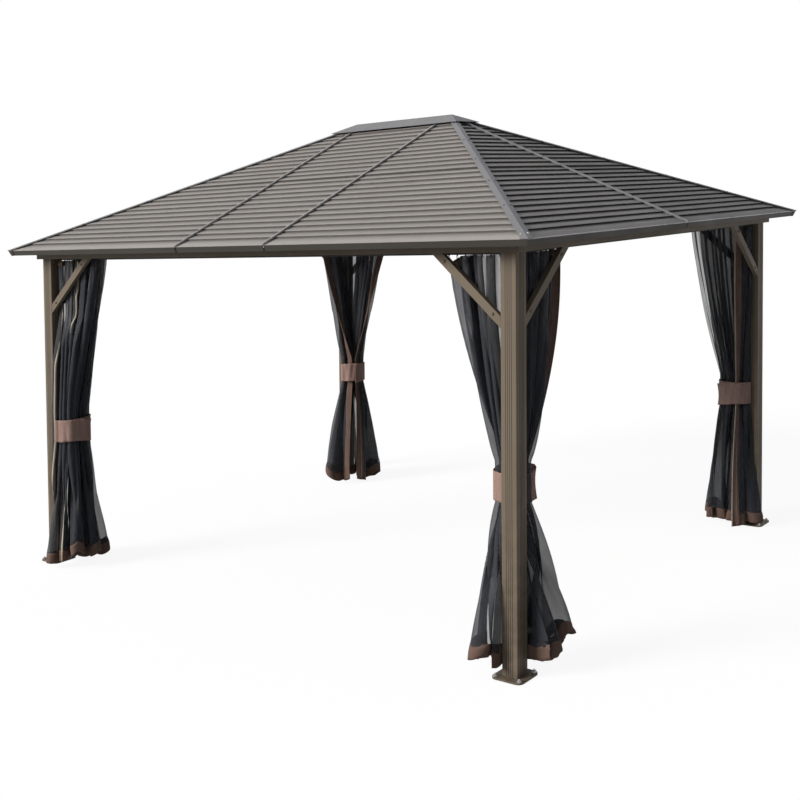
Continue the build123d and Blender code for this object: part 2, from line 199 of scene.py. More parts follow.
class Graph:
    """A node tree with short ways to add and join its nodes."""

    def __init__(self, tree: bpy.types.NodeTree) -> None:
        """Empties the tree.

        Args:
            tree: The node tree to fill.
        """
        self.tree = tree
        self.tree.nodes.clear()

    def node(self, kind: str, inputs: dict | None = None, **settings: object) -> bpy.types.Node:
        """Adds a node.

        Args:
            kind: The node's type name.
            inputs: Values or sockets by input name or number.
            settings: The node's own settings.

        Returns:
            The new node.
        """
        node = self.tree.nodes.new(kind)
        for name, value in settings.items():
            setattr(node, name, value)
        for name, value in (inputs or {}).items():
            self.feed(node.inputs[name], value)
        return node

    def feed(self, socket: Socket, value: object) -> None:
        """Links a socket to another one, or gives it a fixed value."""
        if isinstance(value, bpy.types.NodeSocket):
            self.tree.links.new(value, socket)
        else:
            socket.default_value = value

    def maths(self, operation: str, first: object, second: object = 0.0) -> Socket:
        """Returns the result of a Math node on two values or sockets."""
        return self.node("ShaderNodeMath", {0: first, 1: second}, operation=operation).outputs[0]

    def blend(self, factor: object, first: object, second: object) -> Socket:
        """Returns the colour between first and second at the given factor."""
        node = self.node("ShaderNodeMix", {0: factor, 6: first, 7: second}, data_type="RGBA")
        return node.outputs[2]

    def span(self, value: Socket, low: float, high: float) -> Socket:
        """Returns a smooth step of the value, from 0 at low to 1 at high."""
        inputs = {"Value": value, "From Min": low, "From Max": high}
        return self.node("ShaderNodeMapRange", inputs, interpolation_type="SMOOTHSTEP").outputs[0]

    def vector(self, operation: str, first: object, second: object = (0.0, 0.0, 0.0)) -> Socket:
        """Returns the result of a vector operation.

        Args:
            operation: The operation's name.
            first: A socket or three values.
            second: A socket or three values, where the operation takes two.

        Returns:
            The result's socket.
        """
        return self.node("ShaderNodeVectorMath", {0: first, 1: second}, operation=operation).outputs[0]

    def scaled(self, vector: Socket, factors: Triple) -> Socket:
        """Returns a vector or colour with each part multiplied by its factor."""
        return self.vector("MULTIPLY", vector, factors)

    def dot(self, first: Socket, second: Triple) -> Socket:
        """Returns the dot product of a vector and a fixed direction."""
        node = self.node("ShaderNodeVectorMath", {0: first, 1: second}, operation="DOT_PRODUCT")
        return node.outputs["Value"]

    def noise(self, vector: Socket, scale: float, detail: float = 3.0) -> Socket:
        """Returns a noise value at the vector."""
        inputs = {"Vector": vector, "Scale": scale, "Detail": detail}
        return self.node("ShaderNodeTexNoise", inputs).outputs[0]

    def coordinate(self, name: str) -> Socket:
        """Returns one of the texture coordinates."""
        return self.node("ShaderNodeTexCoord").outputs[name]

    def axis(self, vector: Socket, name: str) -> Socket:
        """Returns one axis of a vector."""
        return self.node("ShaderNodeSeparateXYZ", {0: vector}).outputs[name]

    def group(self, tree: bpy.types.NodeTree, inputs: dict) -> bpy.types.Node:
        """Adds a node group, whose inputs exist once its tree is set, and returns its node."""
        node = self.node("ShaderNodeGroup", None, node_tree=tree)
        for name, value in inputs.items():
            self.feed(node.inputs[name], value)
        return node


class Effects:
    """The node groups that several finishes share."""

    # How finely the coat's mottle, streaks, grain and dust repeat, and how strongly they show.
    MOTTLE = 3.1
    STREAKS = (21.0, 21.0, 0.9)
    GRAIN = 620.0
    DUST = 17.0
    WEAR = 0.7
    UNEVEN = 0.3
    # Places along a slat, from 0 at its lower edge to 1, and the sheets' lap, counted in slats.
    RISER = 0.75
    # Painted shade darkens each riser above this place, on the slopes away from the key light.
    RISER_SHADE = 0.8
    LAP = 12.86
    LAP_HALF = 0.16
    # How far the bulge of a slat leans its normal.
    LEAN = 0.5
    # The side that the key light falls on, and how softly the shaded side starts. Slopes that face away
    # from it get painted shade.
    SUNLIT_SIDE = (-0.6, -0.8, 0.0)
    SHADED_SIDE_EDGE = 0.3
    # How far below the eave the fold starts, in metres.
    FOLD_DROP = 0.0008
    # Half widths, in metres.
    FAR_EDGE = 0.06
    CREASE_HALF = 0.0022
    SPLIT_HALF = 0.007
    FLUTED_HALF = 0.0168
    POST_HALF = 0.0404
    # Half a flute's width as a share of the pitch.
    FLUTE_LINE = 0.16

    def __init__(self) -> None:
        """Builds the groups."""
        self.coat = self._coat()
        self.slats = self._slats()
        self.flutes = self._flutes()
        self.weave = self._weave()

    @staticmethod
    def _tree(
        name: str, inputs: dict[str, str], outputs: dict[str, str]
    ) -> tuple[Graph, dict[str, Socket], bpy.types.Node]:
        """Starts a group.

        Args:
            name: The group's name.
            inputs: Socket types by input name.
            outputs: Socket types by output name.

        Returns:
            The group's graph, its input sockets by name and its output node.
        """
        tree = bpy.data.node_groups.new(name, "ShaderNodeTree")
        for label, kind in inputs.items():
            tree.interface.new_socket(label, in_out="INPUT", socket_type=kind)
        for label, kind in outputs.items():
            tree.interface.new_socket(label, in_out="OUTPUT", socket_type=kind)
        graph = Graph(tree)
        given = graph.node("NodeGroupInput")
        return graph, {label: given.outputs[label] for label in inputs}, graph.node("NodeGroupOutput")

    def _coat(self) -> bpy.types.NodeTree:
        """Returns weathering for painted metal: mottle, rain streaks and dust near the ground."""
        inputs = {
            "Colour": "NodeSocketColor",
            "Shade": "NodeSocketColor",
            "Dust": "NodeSocketColor",
            "Dust Height": "NodeSocketFloat",
            "Roughness": "NodeSocketFloat",
        }
        outputs = {
            "Colour": "NodeSocketColor",
            "Roughness": "NodeSocketFloat",
            "Grain": "NodeSocketFloat",
        }
        graph, given, out = self._tree("weathered_coat", inputs, outputs)
        place = graph.coordinate("Object")
        mottle = graph.noise(place, self.MOTTLE, 5.0)
        streak = graph.noise(graph.scaled(place, self.STREAKS), 1.0, 3.0)
        grain = graph.noise(place, self.GRAIN, 2.0)
        worn = graph.maths("MULTIPLY", graph.span(streak, 0.42, 0.78), graph.span(mottle, 0.3, 0.7))
        height = graph.maths("DIVIDE", graph.axis(place, "Z"), given["Dust Height"])
        low = graph.maths("SUBTRACT", 1.0, graph.span(height, 0.0, 1.0))
        dusty = graph.maths("MULTIPLY", low, graph.span(graph.noise(place, self.DUST, 4.0), 0.28, 0.72))
        colour = graph.blend(graph.maths("MULTIPLY", worn, self.WEAR), given["Colour"], given["Shade"])
        graph.feed(out.inputs["Colour"], graph.blend(dusty, colour, given["Dust"]))
        uneven = graph.maths("MULTIPLY", graph.maths("SUBTRACT", mottle, 0.5), self.UNEVEN)
        graph.feed(out.inputs["Roughness"], graph.maths("ADD", given["Roughness"], uneven))
        graph.feed(out.inputs["Grain"], grain)
        return graph.tree

    def _slats(self) -> bpy.types.NodeTree:
        """Returns masks along the roof's slats, whose lower edges lie at even heights on every slope. Most
        of the masks paint shade into the sheet's colour, and one paints a highlight.

        Each slat bulges a little, so its normal leans outward at the lower edge and inward at the top.
        """
        inputs = dict.fromkeys(("Eave", "First", "Rise", "Seam"), "NodeSocketFloat")
        masks = ("Depth", "Riser Shade", "Lap Shadow", "Fold", "Split", "Crease Highlight", "Shaded Side", "Far Shade")
        outputs = dict.fromkeys(masks, "NodeSocketFloat") | {"Normal": "NodeSocketVector"}
        graph, given, out = self._tree("slat_lines", inputs, outputs)
        place = graph.coordinate("Object")
        height = graph.axis(place, "Z")
        turns = graph.maths("DIVIDE", graph.maths("SUBTRACT", height, given["First"]), given["Rise"])
        phase = graph.maths("FRACT", graph.maths("MAXIMUM", turns, 0.0))
        face = graph.maths("SUBTRACT", 1.0, graph.maths("GREATER_THAN", phase, self.RISER))
        depth = graph.maths("MULTIPLY", graph.maths("DIVIDE", phase, self.RISER), face)
        # Painted shade: each slat darkens from its lower edge towards its top, under the slat above.
        graph.feed(out.inputs["Depth"], depth)
        normal = graph.node("ShaderNodeNewGeometry").outputs["Normal"]
        # Painted shade: the mask of the slopes that face away from the key light. It also gates the other
        # painted shade and the painted highlight.
        outward = graph.vector("NORMALIZE", graph.scaled(normal, (1.0, 1.0, 0.0)))
        sunlit = graph.span(graph.dot(outward, self.SUNLIT_SIDE), -self.SHADED_SIDE_EDGE, self.SHADED_SIDE_EDGE)
        shaded_side = graph.maths("SUBTRACT", 1.0, sunlit)
        graph.feed(out.inputs["Shaded Side"], shaded_side)
        # Painted shade: the slopes away from the key light are darkened further behind the middle, where Y
        # is above 0.
        behind = graph.span(graph.axis(place, "Y"), -self.FAR_EDGE, self.FAR_EDGE)
        graph.feed(out.inputs["Far Shade"], graph.maths("MULTIPLY", shaded_side, behind))
        # Painted shade: the upper part of each riser on the slopes away from the key light.
        riser_shaded = graph.maths("GREATER_THAN", phase, self.RISER_SHADE)
        graph.feed(out.inputs["Riser Shade"], graph.maths("MULTIPLY", riser_shaded, shaded_side))
        # Painted shadow: a dark line along the lap where the upper sheet overlaps the lower one.
        off_joint = graph.maths("ABSOLUTE", graph.maths("SUBTRACT", turns, self.LAP))
        graph.feed(out.inputs["Lap Shadow"], graph.maths("LESS_THAN", off_joint, self.LAP_HALF))
        below = graph.maths("SUBTRACT", height, given["Eave"])
        fold = graph.maths("LESS_THAN", below, -self.FOLD_DROP)
        graph.feed(out.inputs["Fold"], fold)
        # Painted shadow: a near-black line down the fascia at each seam, where the sheets meet.
        x, y = (graph.maths("ABSOLUTE", graph.axis(place, name)) for name in "XY")
        long_seam = graph.maths("ABSOLUTE", graph.maths("SUBTRACT", x, given["Seam"]))
        at_seam = graph.maths("LESS_THAN", graph.maths("MINIMUM", long_seam, y), self.SPLIT_HALF)
        graph.feed(out.inputs["Split"], graph.maths("MULTIPLY", fold, at_seam))
        # Painted highlight: a light line along the eave crease on the slopes away from the key light.
        edge = graph.maths("LESS_THAN", graph.maths("ABSOLUTE", below), self.CREASE_HALF)
        graph.feed(out.inputs["Crease Highlight"], graph.maths("MULTIPLY", edge, shaded_side))
        bulge = graph.maths("MULTIPLY", graph.maths("SUBTRACT", 0.5, depth), face)
        lean = graph.maths("MULTIPLY", bulge, self.LEAN)
        push = {0: outward, "Scale": lean}
        leaning = graph.node("ShaderNodeVectorMath", push, operation="SCALE").outputs[0]
        graph.feed(out.inputs["Normal"], graph.vector("NORMALIZE", graph.vector("ADD", normal, leaning)))
        return graph.tree

    def _flutes(self) -> bpy.types.NodeTree:
        """Returns where the fine flutes run down the middle of each post's faces, for painted shade in
        their grooves.
        """
        inputs = dict.fromkeys(("Across X", "Across Y", "Pitch"), "NodeSocketFloat")
        graph, given, out = self._tree("post_flutes", inputs, {"Mask": "NodeSocketFloat"})
        place = graph.coordinate("Object")
        inside: object = 1.0
        groove_shade: object = 0.0
        for axis in "XY":
            distance = graph.maths("ABSOLUTE", graph.axis(place, axis))
            away = graph.maths("SUBTRACT", distance, given[f"Across {axis}"])
            count = graph.maths("DIVIDE", away, given["Pitch"])
            turn = graph.maths("FRACT", graph.maths("ADD", count, 2.0))
            off_line = graph.maths("ABSOLUTE", graph.maths("SUBTRACT", turn, 0.5))
            line = graph.maths("LESS_THAN", off_line, self.FLUTE_LINE)
            off_middle = graph.maths("ABSOLUTE", away)
            near = graph.maths("LESS_THAN", off_middle, self.FLUTED_HALF)
            groove_shade = graph.maths("MAXIMUM", groove_shade, graph.maths("MULTIPLY", line, near))
            within = graph.maths("LESS_THAN", off_middle, self.POST_HALF)
            inside = graph.maths("MULTIPLY", inside, within)
        graph.feed(out.inputs["Mask"], graph.maths("MULTIPLY", groove_shade, inside))
        return graph.tree

    def _weave(self) -> bpy.types.NodeTree:
        """Returns the height of a plain weave in UV space."""
        inputs = {"Across": "NodeSocketFloat", "Down": "NodeSocketFloat"}
        graph, given, out = self._tree("plain_weave", inputs, {"Height": "NodeSocketFloat"})
        uv = graph.coordinate("UV")
        warp = graph.maths("SINE", graph.maths("MULTIPLY", graph.axis(uv, "X"), given["Across"]))
        weft = graph.maths("SINE", graph.maths("MULTIPLY", graph.axis(uv, "Y"), given["Down"]))
        graph.feed(out.inputs["Height"], graph.maths("MULTIPLY", warp, weft))
        return graph.tree


def new_material(name: str) -> tuple[bpy.types.Material, Graph, bpy.types.Node]:
    """Starts a material.

    Args:
        name: The material's name.

    Returns:
        The material, its graph and its Principled node, which is joined to the output.
    """
    material = bpy.data.materials.new(name)
    material.use_nodes = True
    graph = Graph(material.node_tree)
    shader = graph.node("ShaderNodeBsdfPrincipled")
    graph.node("ShaderNodeOutputMaterial", {"Surface": shader.outputs[0]})
    return material, graph, shader


def woven_normal(graph: Graph, effects: Effects, threads: Pair, bump: Pair) -> Socket:
    """Returns the normal of a plain weave.

    Args:
        graph: The material's graph.
        effects: The shared node groups.
        threads: How finely the weave repeats across and down the cloth.
        bump: The bump's strength and depth.

    Returns:
        The normal's socket.
    """
    weave = graph.group(effects.weave, {"Across": threads[0], "Down": threads[1]}).outputs["Height"]
    inputs = {"Strength": bump[0], "Distance": bump[1], "Height": weave}
    return graph.node("ShaderNodeBump", inputs).outputs[0]


@dataclass(frozen=True)
class PowderCoat:
    """Powder-coated steel with rain streaks, dust near the ground, and painted shade in the posts' flutes.
    """

    name: str
    colour: Colour
    shade: Colour
    dust: Colour
    # The painted shade's colour in the flutes' grooves.
    groove_shade: Colour = (0.05, 0.038, 0.026)
    post_x: float = 1.64
    post_y: float = 1.325
    flute_pitch: float = 0.01
    groove_shade_cover: float = 0.75
    dust_height: float = 1.0
    roughness: float = 0.55
    specular: float = 0.25
    grain: float = 0.25
    grain_depth: float = 0.0004

    def material(self, effects: Effects) -> bpy.types.Material:
        """Returns the finish as a material."""
        material, graph, shader = new_material(self.name)
        inputs = {
            "Colour": rgba(self.colour),
            "Shade": rgba(self.shade),
            "Dust": rgba(self.dust),
            "Dust Height": self.dust_height,
            "Roughness": self.roughness,
        }
        coat = graph.group(effects.coat, inputs).outputs
        grains = {"Strength": self.grain, "Distance": self.grain_depth, "Height": coat["Grain"]}
        bump = graph.node("ShaderNodeBump", grains)
        places = {"Across X": self.post_x, "Across Y": self.post_y, "Pitch": self.flute_pitch}
        flutes = graph.group(effects.flutes, places).outputs["Mask"]
        # Painted shade: the flutes' grooves are darkened.
        shaded = graph.maths("MULTIPLY", flutes, self.groove_shade_cover)
        graph.feed(shader.inputs["Base Color"], graph.blend(shaded, coat["Colour"], rgba(self.groove_shade)))
        graph.feed(shader.inputs["Roughness"], coat["Roughness"])
        graph.feed(shader.inputs["Normal"], bump.outputs[0])
        shader.inputs["Specular IOR Level"].default_value = self.specular
        return material


@dataclass(frozen=True)
class RoofSteel:
    """Painted roof sheet: bulged slats, each with painted shade that darkens it towards its top, more
    painted shade on the risers and on the slopes away from the light, painted shadow along the lap and in
    the fascia's splits, a painted highlight on the eave crease, and a dark eave fold.
    """

    name: str
    colour: Colour
    # The painted shade's colour at the top of each slat.
    valley_shade: Colour
    # The fascia's dark paint. The painted shade in the risers and the painted shadow along the lap use it
    # too.
    fold: Colour
    # The painted highlight's colour along the eave crease.
    edge: Colour
    roof: RoofPlan
    slatted: bool = True
    # Painted shade: darkens and blues the slopes that face away from the key light.
    shaded_side_tint: Colour = (0.66, 0.675, 0.715)
    # Painted shade: the tint behind the middle of the slopes away from the key light.
    far_shade_tint: Colour = (0.6, 0.6, 0.61)
    stain_tint: Colour = (0.86, 0.85, 0.84)
    # The near-black painted shadow in the fascia where the sheets meet.
    split: Colour = (0.008, 0.008, 0.008)
    riser_shade_cover: float = 0.85
    lap_shadow_cover: float = 0.8
    dust_height: float = 0.01
    roughness: float = 0.55
    specular: float = 0.2

    def material(self, effects: Effects) -> bpy.types.Material:
        """Returns the finish as a material."""
        material, graph, shader = new_material(self.name)
        roof = self.roof
        heights = {"Eave": roof.eave, "First": roof.first_slat, "Rise": roof.slat_rise, "Seam": roof.seam_x}
        slats = graph.group(effects.slats, heights).outputs
        colour = graph.blend(slats["Depth"], rgba(self.colour), rgba(self.valley_shade))
        # Painted shade on the slopes that face away from the key light.
        colour = graph.blend(slats["Shaded Side"], colour, graph.scaled(colour, self.shaded_side_tint))
        colour = graph.blend(slats["Far Shade"], colour, graph.scaled(colour, self.far_shade_tint))
        if self.slatted:
            # Painted shade in the shaded slopes' risers and painted shadow along the lap, both in the
            # fascia's dark colour.
            for mask, cover in (("Riser Shade", self.riser_shade_cover), ("Lap Shadow", self.lap_shadow_cover)):
                colour = graph.blend(graph.maths("MULTIPLY", slats[mask], cover), colour, rgba(self.fold))
            graph.feed(shader.inputs["Normal"], slats["Normal"])
        fascia = graph.blend(slats["Split"], rgba(self.fold), rgba(self.split))
        folded = graph.blend(slats["Fold"], colour, fascia)
        stained = graph.scaled(colour, self.stain_tint)
        inputs = {
            "Colour": graph.blend(slats["Crease Highlight"], folded, rgba(self.edge)),
            "Shade": graph.blend(slats["Fold"], stained, fascia),
            "Dust": rgba(self.fold),
            "Dust Height": self.dust_height,
            "Roughness": self.roughness,
        }
        coat = graph.group(effects.coat, inputs).outputs
        graph.feed(shader.inputs["Base Color"], coat["Colour"])
        graph.feed(shader.inputs["Roughness"], coat["Roughness"])
        shader.inputs["Specular IOR Level"].default_value = self.specular
        return material


@dataclass(frozen=True)
class ZincPlate:
    """Zinc-plated steel of screws and bolts, dulled in places."""

    name: str
    colour: Colour
    dull: Colour
    spot_scale: float = 140.0
    roughness: float = 0.3
    dulling: float = 0.3
    metallic: float = 0.8

    def material(self, _effects: Effects) -> bpy.types.Material:
        """Returns the finish as a material. It needs none of the shared effects."""
        material, graph, shader = new_material(self.name)
        spots = graph.span(graph.noise(graph.coordinate("Object"), self.spot_scale, 3.0), 0.4, 0.7)
        graph.feed(shader.inputs["Base Color"], graph.blend(spots, rgba(self.colour), rgba(self.dull)))
        dulled = graph.maths("MULTIPLY", spots, self.dulling)
        graph.feed(shader.inputs["Roughness"], graph.maths("ADD", dulled, self.roughness))
        shader.inputs["Metallic"].default_value = self.metallic
        return material


@dataclass(frozen=True)
class InsectNet:
    """Fine black mesh, sheer where one layer is seen square on and denser at a slant."""

    name: str
    colour: Colour
    glint: Colour
    cover: float
    slant_cover: float
    slant_power: float = 1.6
    creases: Triple = (210.0, 9.0, 1.0)
    patches: Triple = (60.0, 14.0, 1.0)
    patchiness: float = 0.2
    shine_from: float = 1.25
    shine_to: float = 1.75
    least_shine: float = 0.2
    threads: Pair = (9000.0, 6000.0)
    weave_bump: Pair = (0.1, 0.0003)
    roughness: float = 0.7
    specular: float = 0.2

    def material(self, effects: Effects) -> bpy.types.Material:
        """Returns the finish as a material."""
        material, graph, shader = new_material(self.name)
        uv = graph.coordinate("UV")
        crease = graph.span(graph.noise(graph.scaled(uv, self.creases), 1.0, 3.0), 0.5, 0.75)
        high = graph.span(graph.axis(graph.coordinate("Object"), "Z"), self.shine_from, self.shine_to)
        above = graph.maths("MULTIPLY", high, 1.0 - self.least_shine)
        shiny = graph.maths("MULTIPLY", crease, graph.maths("ADD", above, self.least_shine))
        graph.feed(shader.inputs["Base Color"], graph.blend(shiny, rgba(self.colour), rgba(self.glint)))
        facing = graph.node("ShaderNodeLayerWeight", {"Blend": 0.5}).outputs["Facing"]
        slant = graph.maths("MULTIPLY", graph.maths("POWER", facing, self.slant_power), self.slant_cover)
        patch = graph.noise(graph.scaled(uv, self.patches), 1.0, 2.0)
        patchy = graph.maths("MULTIPLY", patch, self.patchiness)
        cover = graph.maths("ADD", graph.maths("ADD", slant, patchy), self.cover - self.patchiness / 2)
        graph.feed(shader.inputs["Alpha"], graph.maths("MINIMUM", cover, 1.0))
        graph.feed(shader.inputs["Normal"], woven_normal(graph, effects, self.threads, self.weave_bump))
        shader.inputs["Roughness"].default_value = self.roughness
        shader.inputs["Specular IOR Level"].default_value = self.specular
        return material


@dataclass(frozen=True)
class WovenTape:
    """Close-woven fabric tape, used for the bindings, the ties and the zip tapes."""

    name: str
    colour: Colour
    faded: Colour
    threads: Pair = (5200.0, 3600.0)
    fading: Triple = (46.0, 21.0, 1.0)
    weave_bump: Pair = (0.35, 0.0006)
    roughness: float = 0.75
    fade_roughness: float = 0.1
    specular: float = 0.15

    def material(self, effects: Effects) -> bpy.types.Material:
        """Returns the finish as a material."""
        material, graph, shader = new_material(self.name)
        uv = graph.coordinate("UV")
        fade = graph.span(graph.noise(graph.scaled(uv, self.fading), 1.0, 4.0), 0.3, 0.72)
        graph.feed(shader.inputs["Base Color"], graph.blend(fade, rgba(self.colour), rgba(self.faded)))
        graph.feed(shader.inputs["Normal"], woven_normal(graph, effects, self.threads, self.weave_bump))
        rougher = graph.maths("MULTIPLY", fade, self.fade_roughness)
        graph.feed(shader.inputs["Roughness"], graph.maths("ADD", rougher, self.roughness))
        shader.inputs["Specular IOR Level"].default_value = self.specular
        return material


@dataclass
class Finishes:
    """Every finish of the gazebo, as materials."""

    effects: Effects
    plan: RoofPlan
    made: dict[str, bpy.types.Material] = field(default_factory=dict)

    def __post_init__(self) -> None:
        """Builds the materials."""
        # The fascia's dark paint. The painted shade in the risers and the painted shadow along the lap use
        # it too.
        fold: Colour = (0.058, 0.053, 0.045)
        # The painted highlight's colour along the eave crease.
        edge: Colour = (0.75, 0.75, 0.77)
        cap: Colour = (0.23, 0.23, 0.238)
        # A lighter finish for the long slopes' seam caps: partly their own paint, partly painted light that
        # keeps their shaded walls light.
        seam: Colour = (0.43, 0.42, 0.41)
        plain: Colour = (1.0, 1.0, 1.0)
        coat = PowderCoat("frame_coat", (0.19, 0.151, 0.108), (0.15, 0.118, 0.084), (0.122, 0.097, 0.07))
        rail = PowderCoat("rail_coat", (0.05, 0.046, 0.042), (0.035, 0.033, 0.03), (0.06, 0.055, 0.05))
        # The roof's second colour is the painted shade at the tops of the slats.
        roof = RoofSteel("roof_steel", (0.385, 0.36, 0.335), (0.225, 0.212, 0.2), fold, edge, self.plan)
        smooth = {"roof": self.plan, "slatted": False, "far_shade_tint": plain}
        # The hip and ridge caps get a milder painted shade on the slopes away from the key light.
        trim = RoofSteel("roof_trim", cap, cap, fold, edge, shaded_side_tint=(0.88, 0.89, 0.93), **smooth)
        seams = RoofSteel("seam_cap", seam, seam, fold, edge, shaded_side_tint=plain, **smooth)
        zinc = ZincPlate("zinc", (0.5, 0.5, 0.5), (0.3, 0.29, 0.28))
        net = InsectNet("insect_net", (0.054, 0.058, 0.068), (0.2, 0.205, 0.22), 0.64, 0.28)
        tape = WovenTape("brown_tape", (0.155, 0.1, 0.077), (0.19, 0.125, 0.1))
        strap = WovenTape("tie_tape", (0.33, 0.215, 0.18), (0.4, 0.27, 0.23), (1500.0, 320.0))
        zip_tape = WovenTape("zip_tape", (0.48, 0.4, 0.29), (0.58, 0.5, 0.39))
        for finish in (coat, rail, roof, trim, seams, zinc, net, tape, strap, zip_tape):
            self.made[finish.name] = finish.material(self.effects)

    def __getitem__(self, name: str) -> bpy.types.Material:
        """Returns the material with the given name."""
        return self.made[name]


def make_piece(
    name: str,
    bm: bmesh.types.BMesh,
    material: bpy.types.Material,
    smooth: bool = True,
) -> bpy.types.Object:
    """Turns a bmesh into a piece that rides on the gazebo's body.

    Args:
        name: The piece's name.
        bm: Its shape, in the row frame. It is freed.
        material: Its finish.
        smooth: Whether its faces are shaded smooth.

    Returns:
        The new object.
    """
    mesh = bpy.data.meshes.new(name)
    for face in bm.faces:
        face.smooth = smooth
    bm.to_mesh(mesh)
    bm.free()
    mesh.materials.append(material)
    piece = bpy.data.objects.new(name, mesh)
    bpy.context.scene.collection.objects.link(piece)
    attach(piece, BODY)
    LOG.info("built %s with %d faces", name, len(mesh.polygons))
    return piece


def thicken(piece: bpy.types.Object, thickness: float, offset: float = 0.0) -> None:
    """Gives a sheet a thickness with a Solidify modifier."""
    solid = piece.modifiers.new("thickness", "SOLIDIFY")
    solid.thickness = thickness
    solid.offset = offset


@dataclass
class CadDressing:
    """Puts a finish on every CAD node."""

    finishes: Finishes
    by_slot: dict[Slot, str] = field(
        default_factory=lambda: {
            Slot.FRAME: "frame_coat",
            Slot.ROOF: "roof_steel",
            Slot.TRIM: "roof_trim",
            Slot.RAIL: "rail_coat",
            Slot.NET: "insect_net",
            Slot.BINDING: "tie_tape",
        }
    )

    def dress(self) -> None:
        """Gives each node the finish of its slot in the record."""
        for part in frame["record"]["subparts"]:
            node = frame["nodes"][part["node"]]
            finish = self.finishes[self.by_slot[Slot(part["material_slot"])]]
            node.data.materials.clear()
            node.data.materials.append(finish)
            LOG.info("dressed %s with %s", node.name, finish.name)


@dataclass(frozen=True)
class Turning:
    """One step of a small turned or hexagonal shape: its radii, and where it lies along the axis."""

    foot: float
    top: float
    low: float
    high: float
    sides: int

    def add(self, bm: bmesh.types.BMesh, place: Matrix, size: float = 1.0) -> None:
        """Adds the step to a mesh.

        Args:
            bm: The mesh to add to.
            place: Where the shape stands.
            size: How much larger the step is made.
        """
        bmesh.ops.create_cone(
            bm,
            cap_ends=True,
            cap_tris=False,
            segments=self.sides,
            radius1=self.foot * size,
            radius2=self.top * size,
            depth=(self.high - self.low) * size,
            matrix=place @ Matrix.Translation((0.0, 0.0, (self.low + self.high) / 2 * size)),
        )


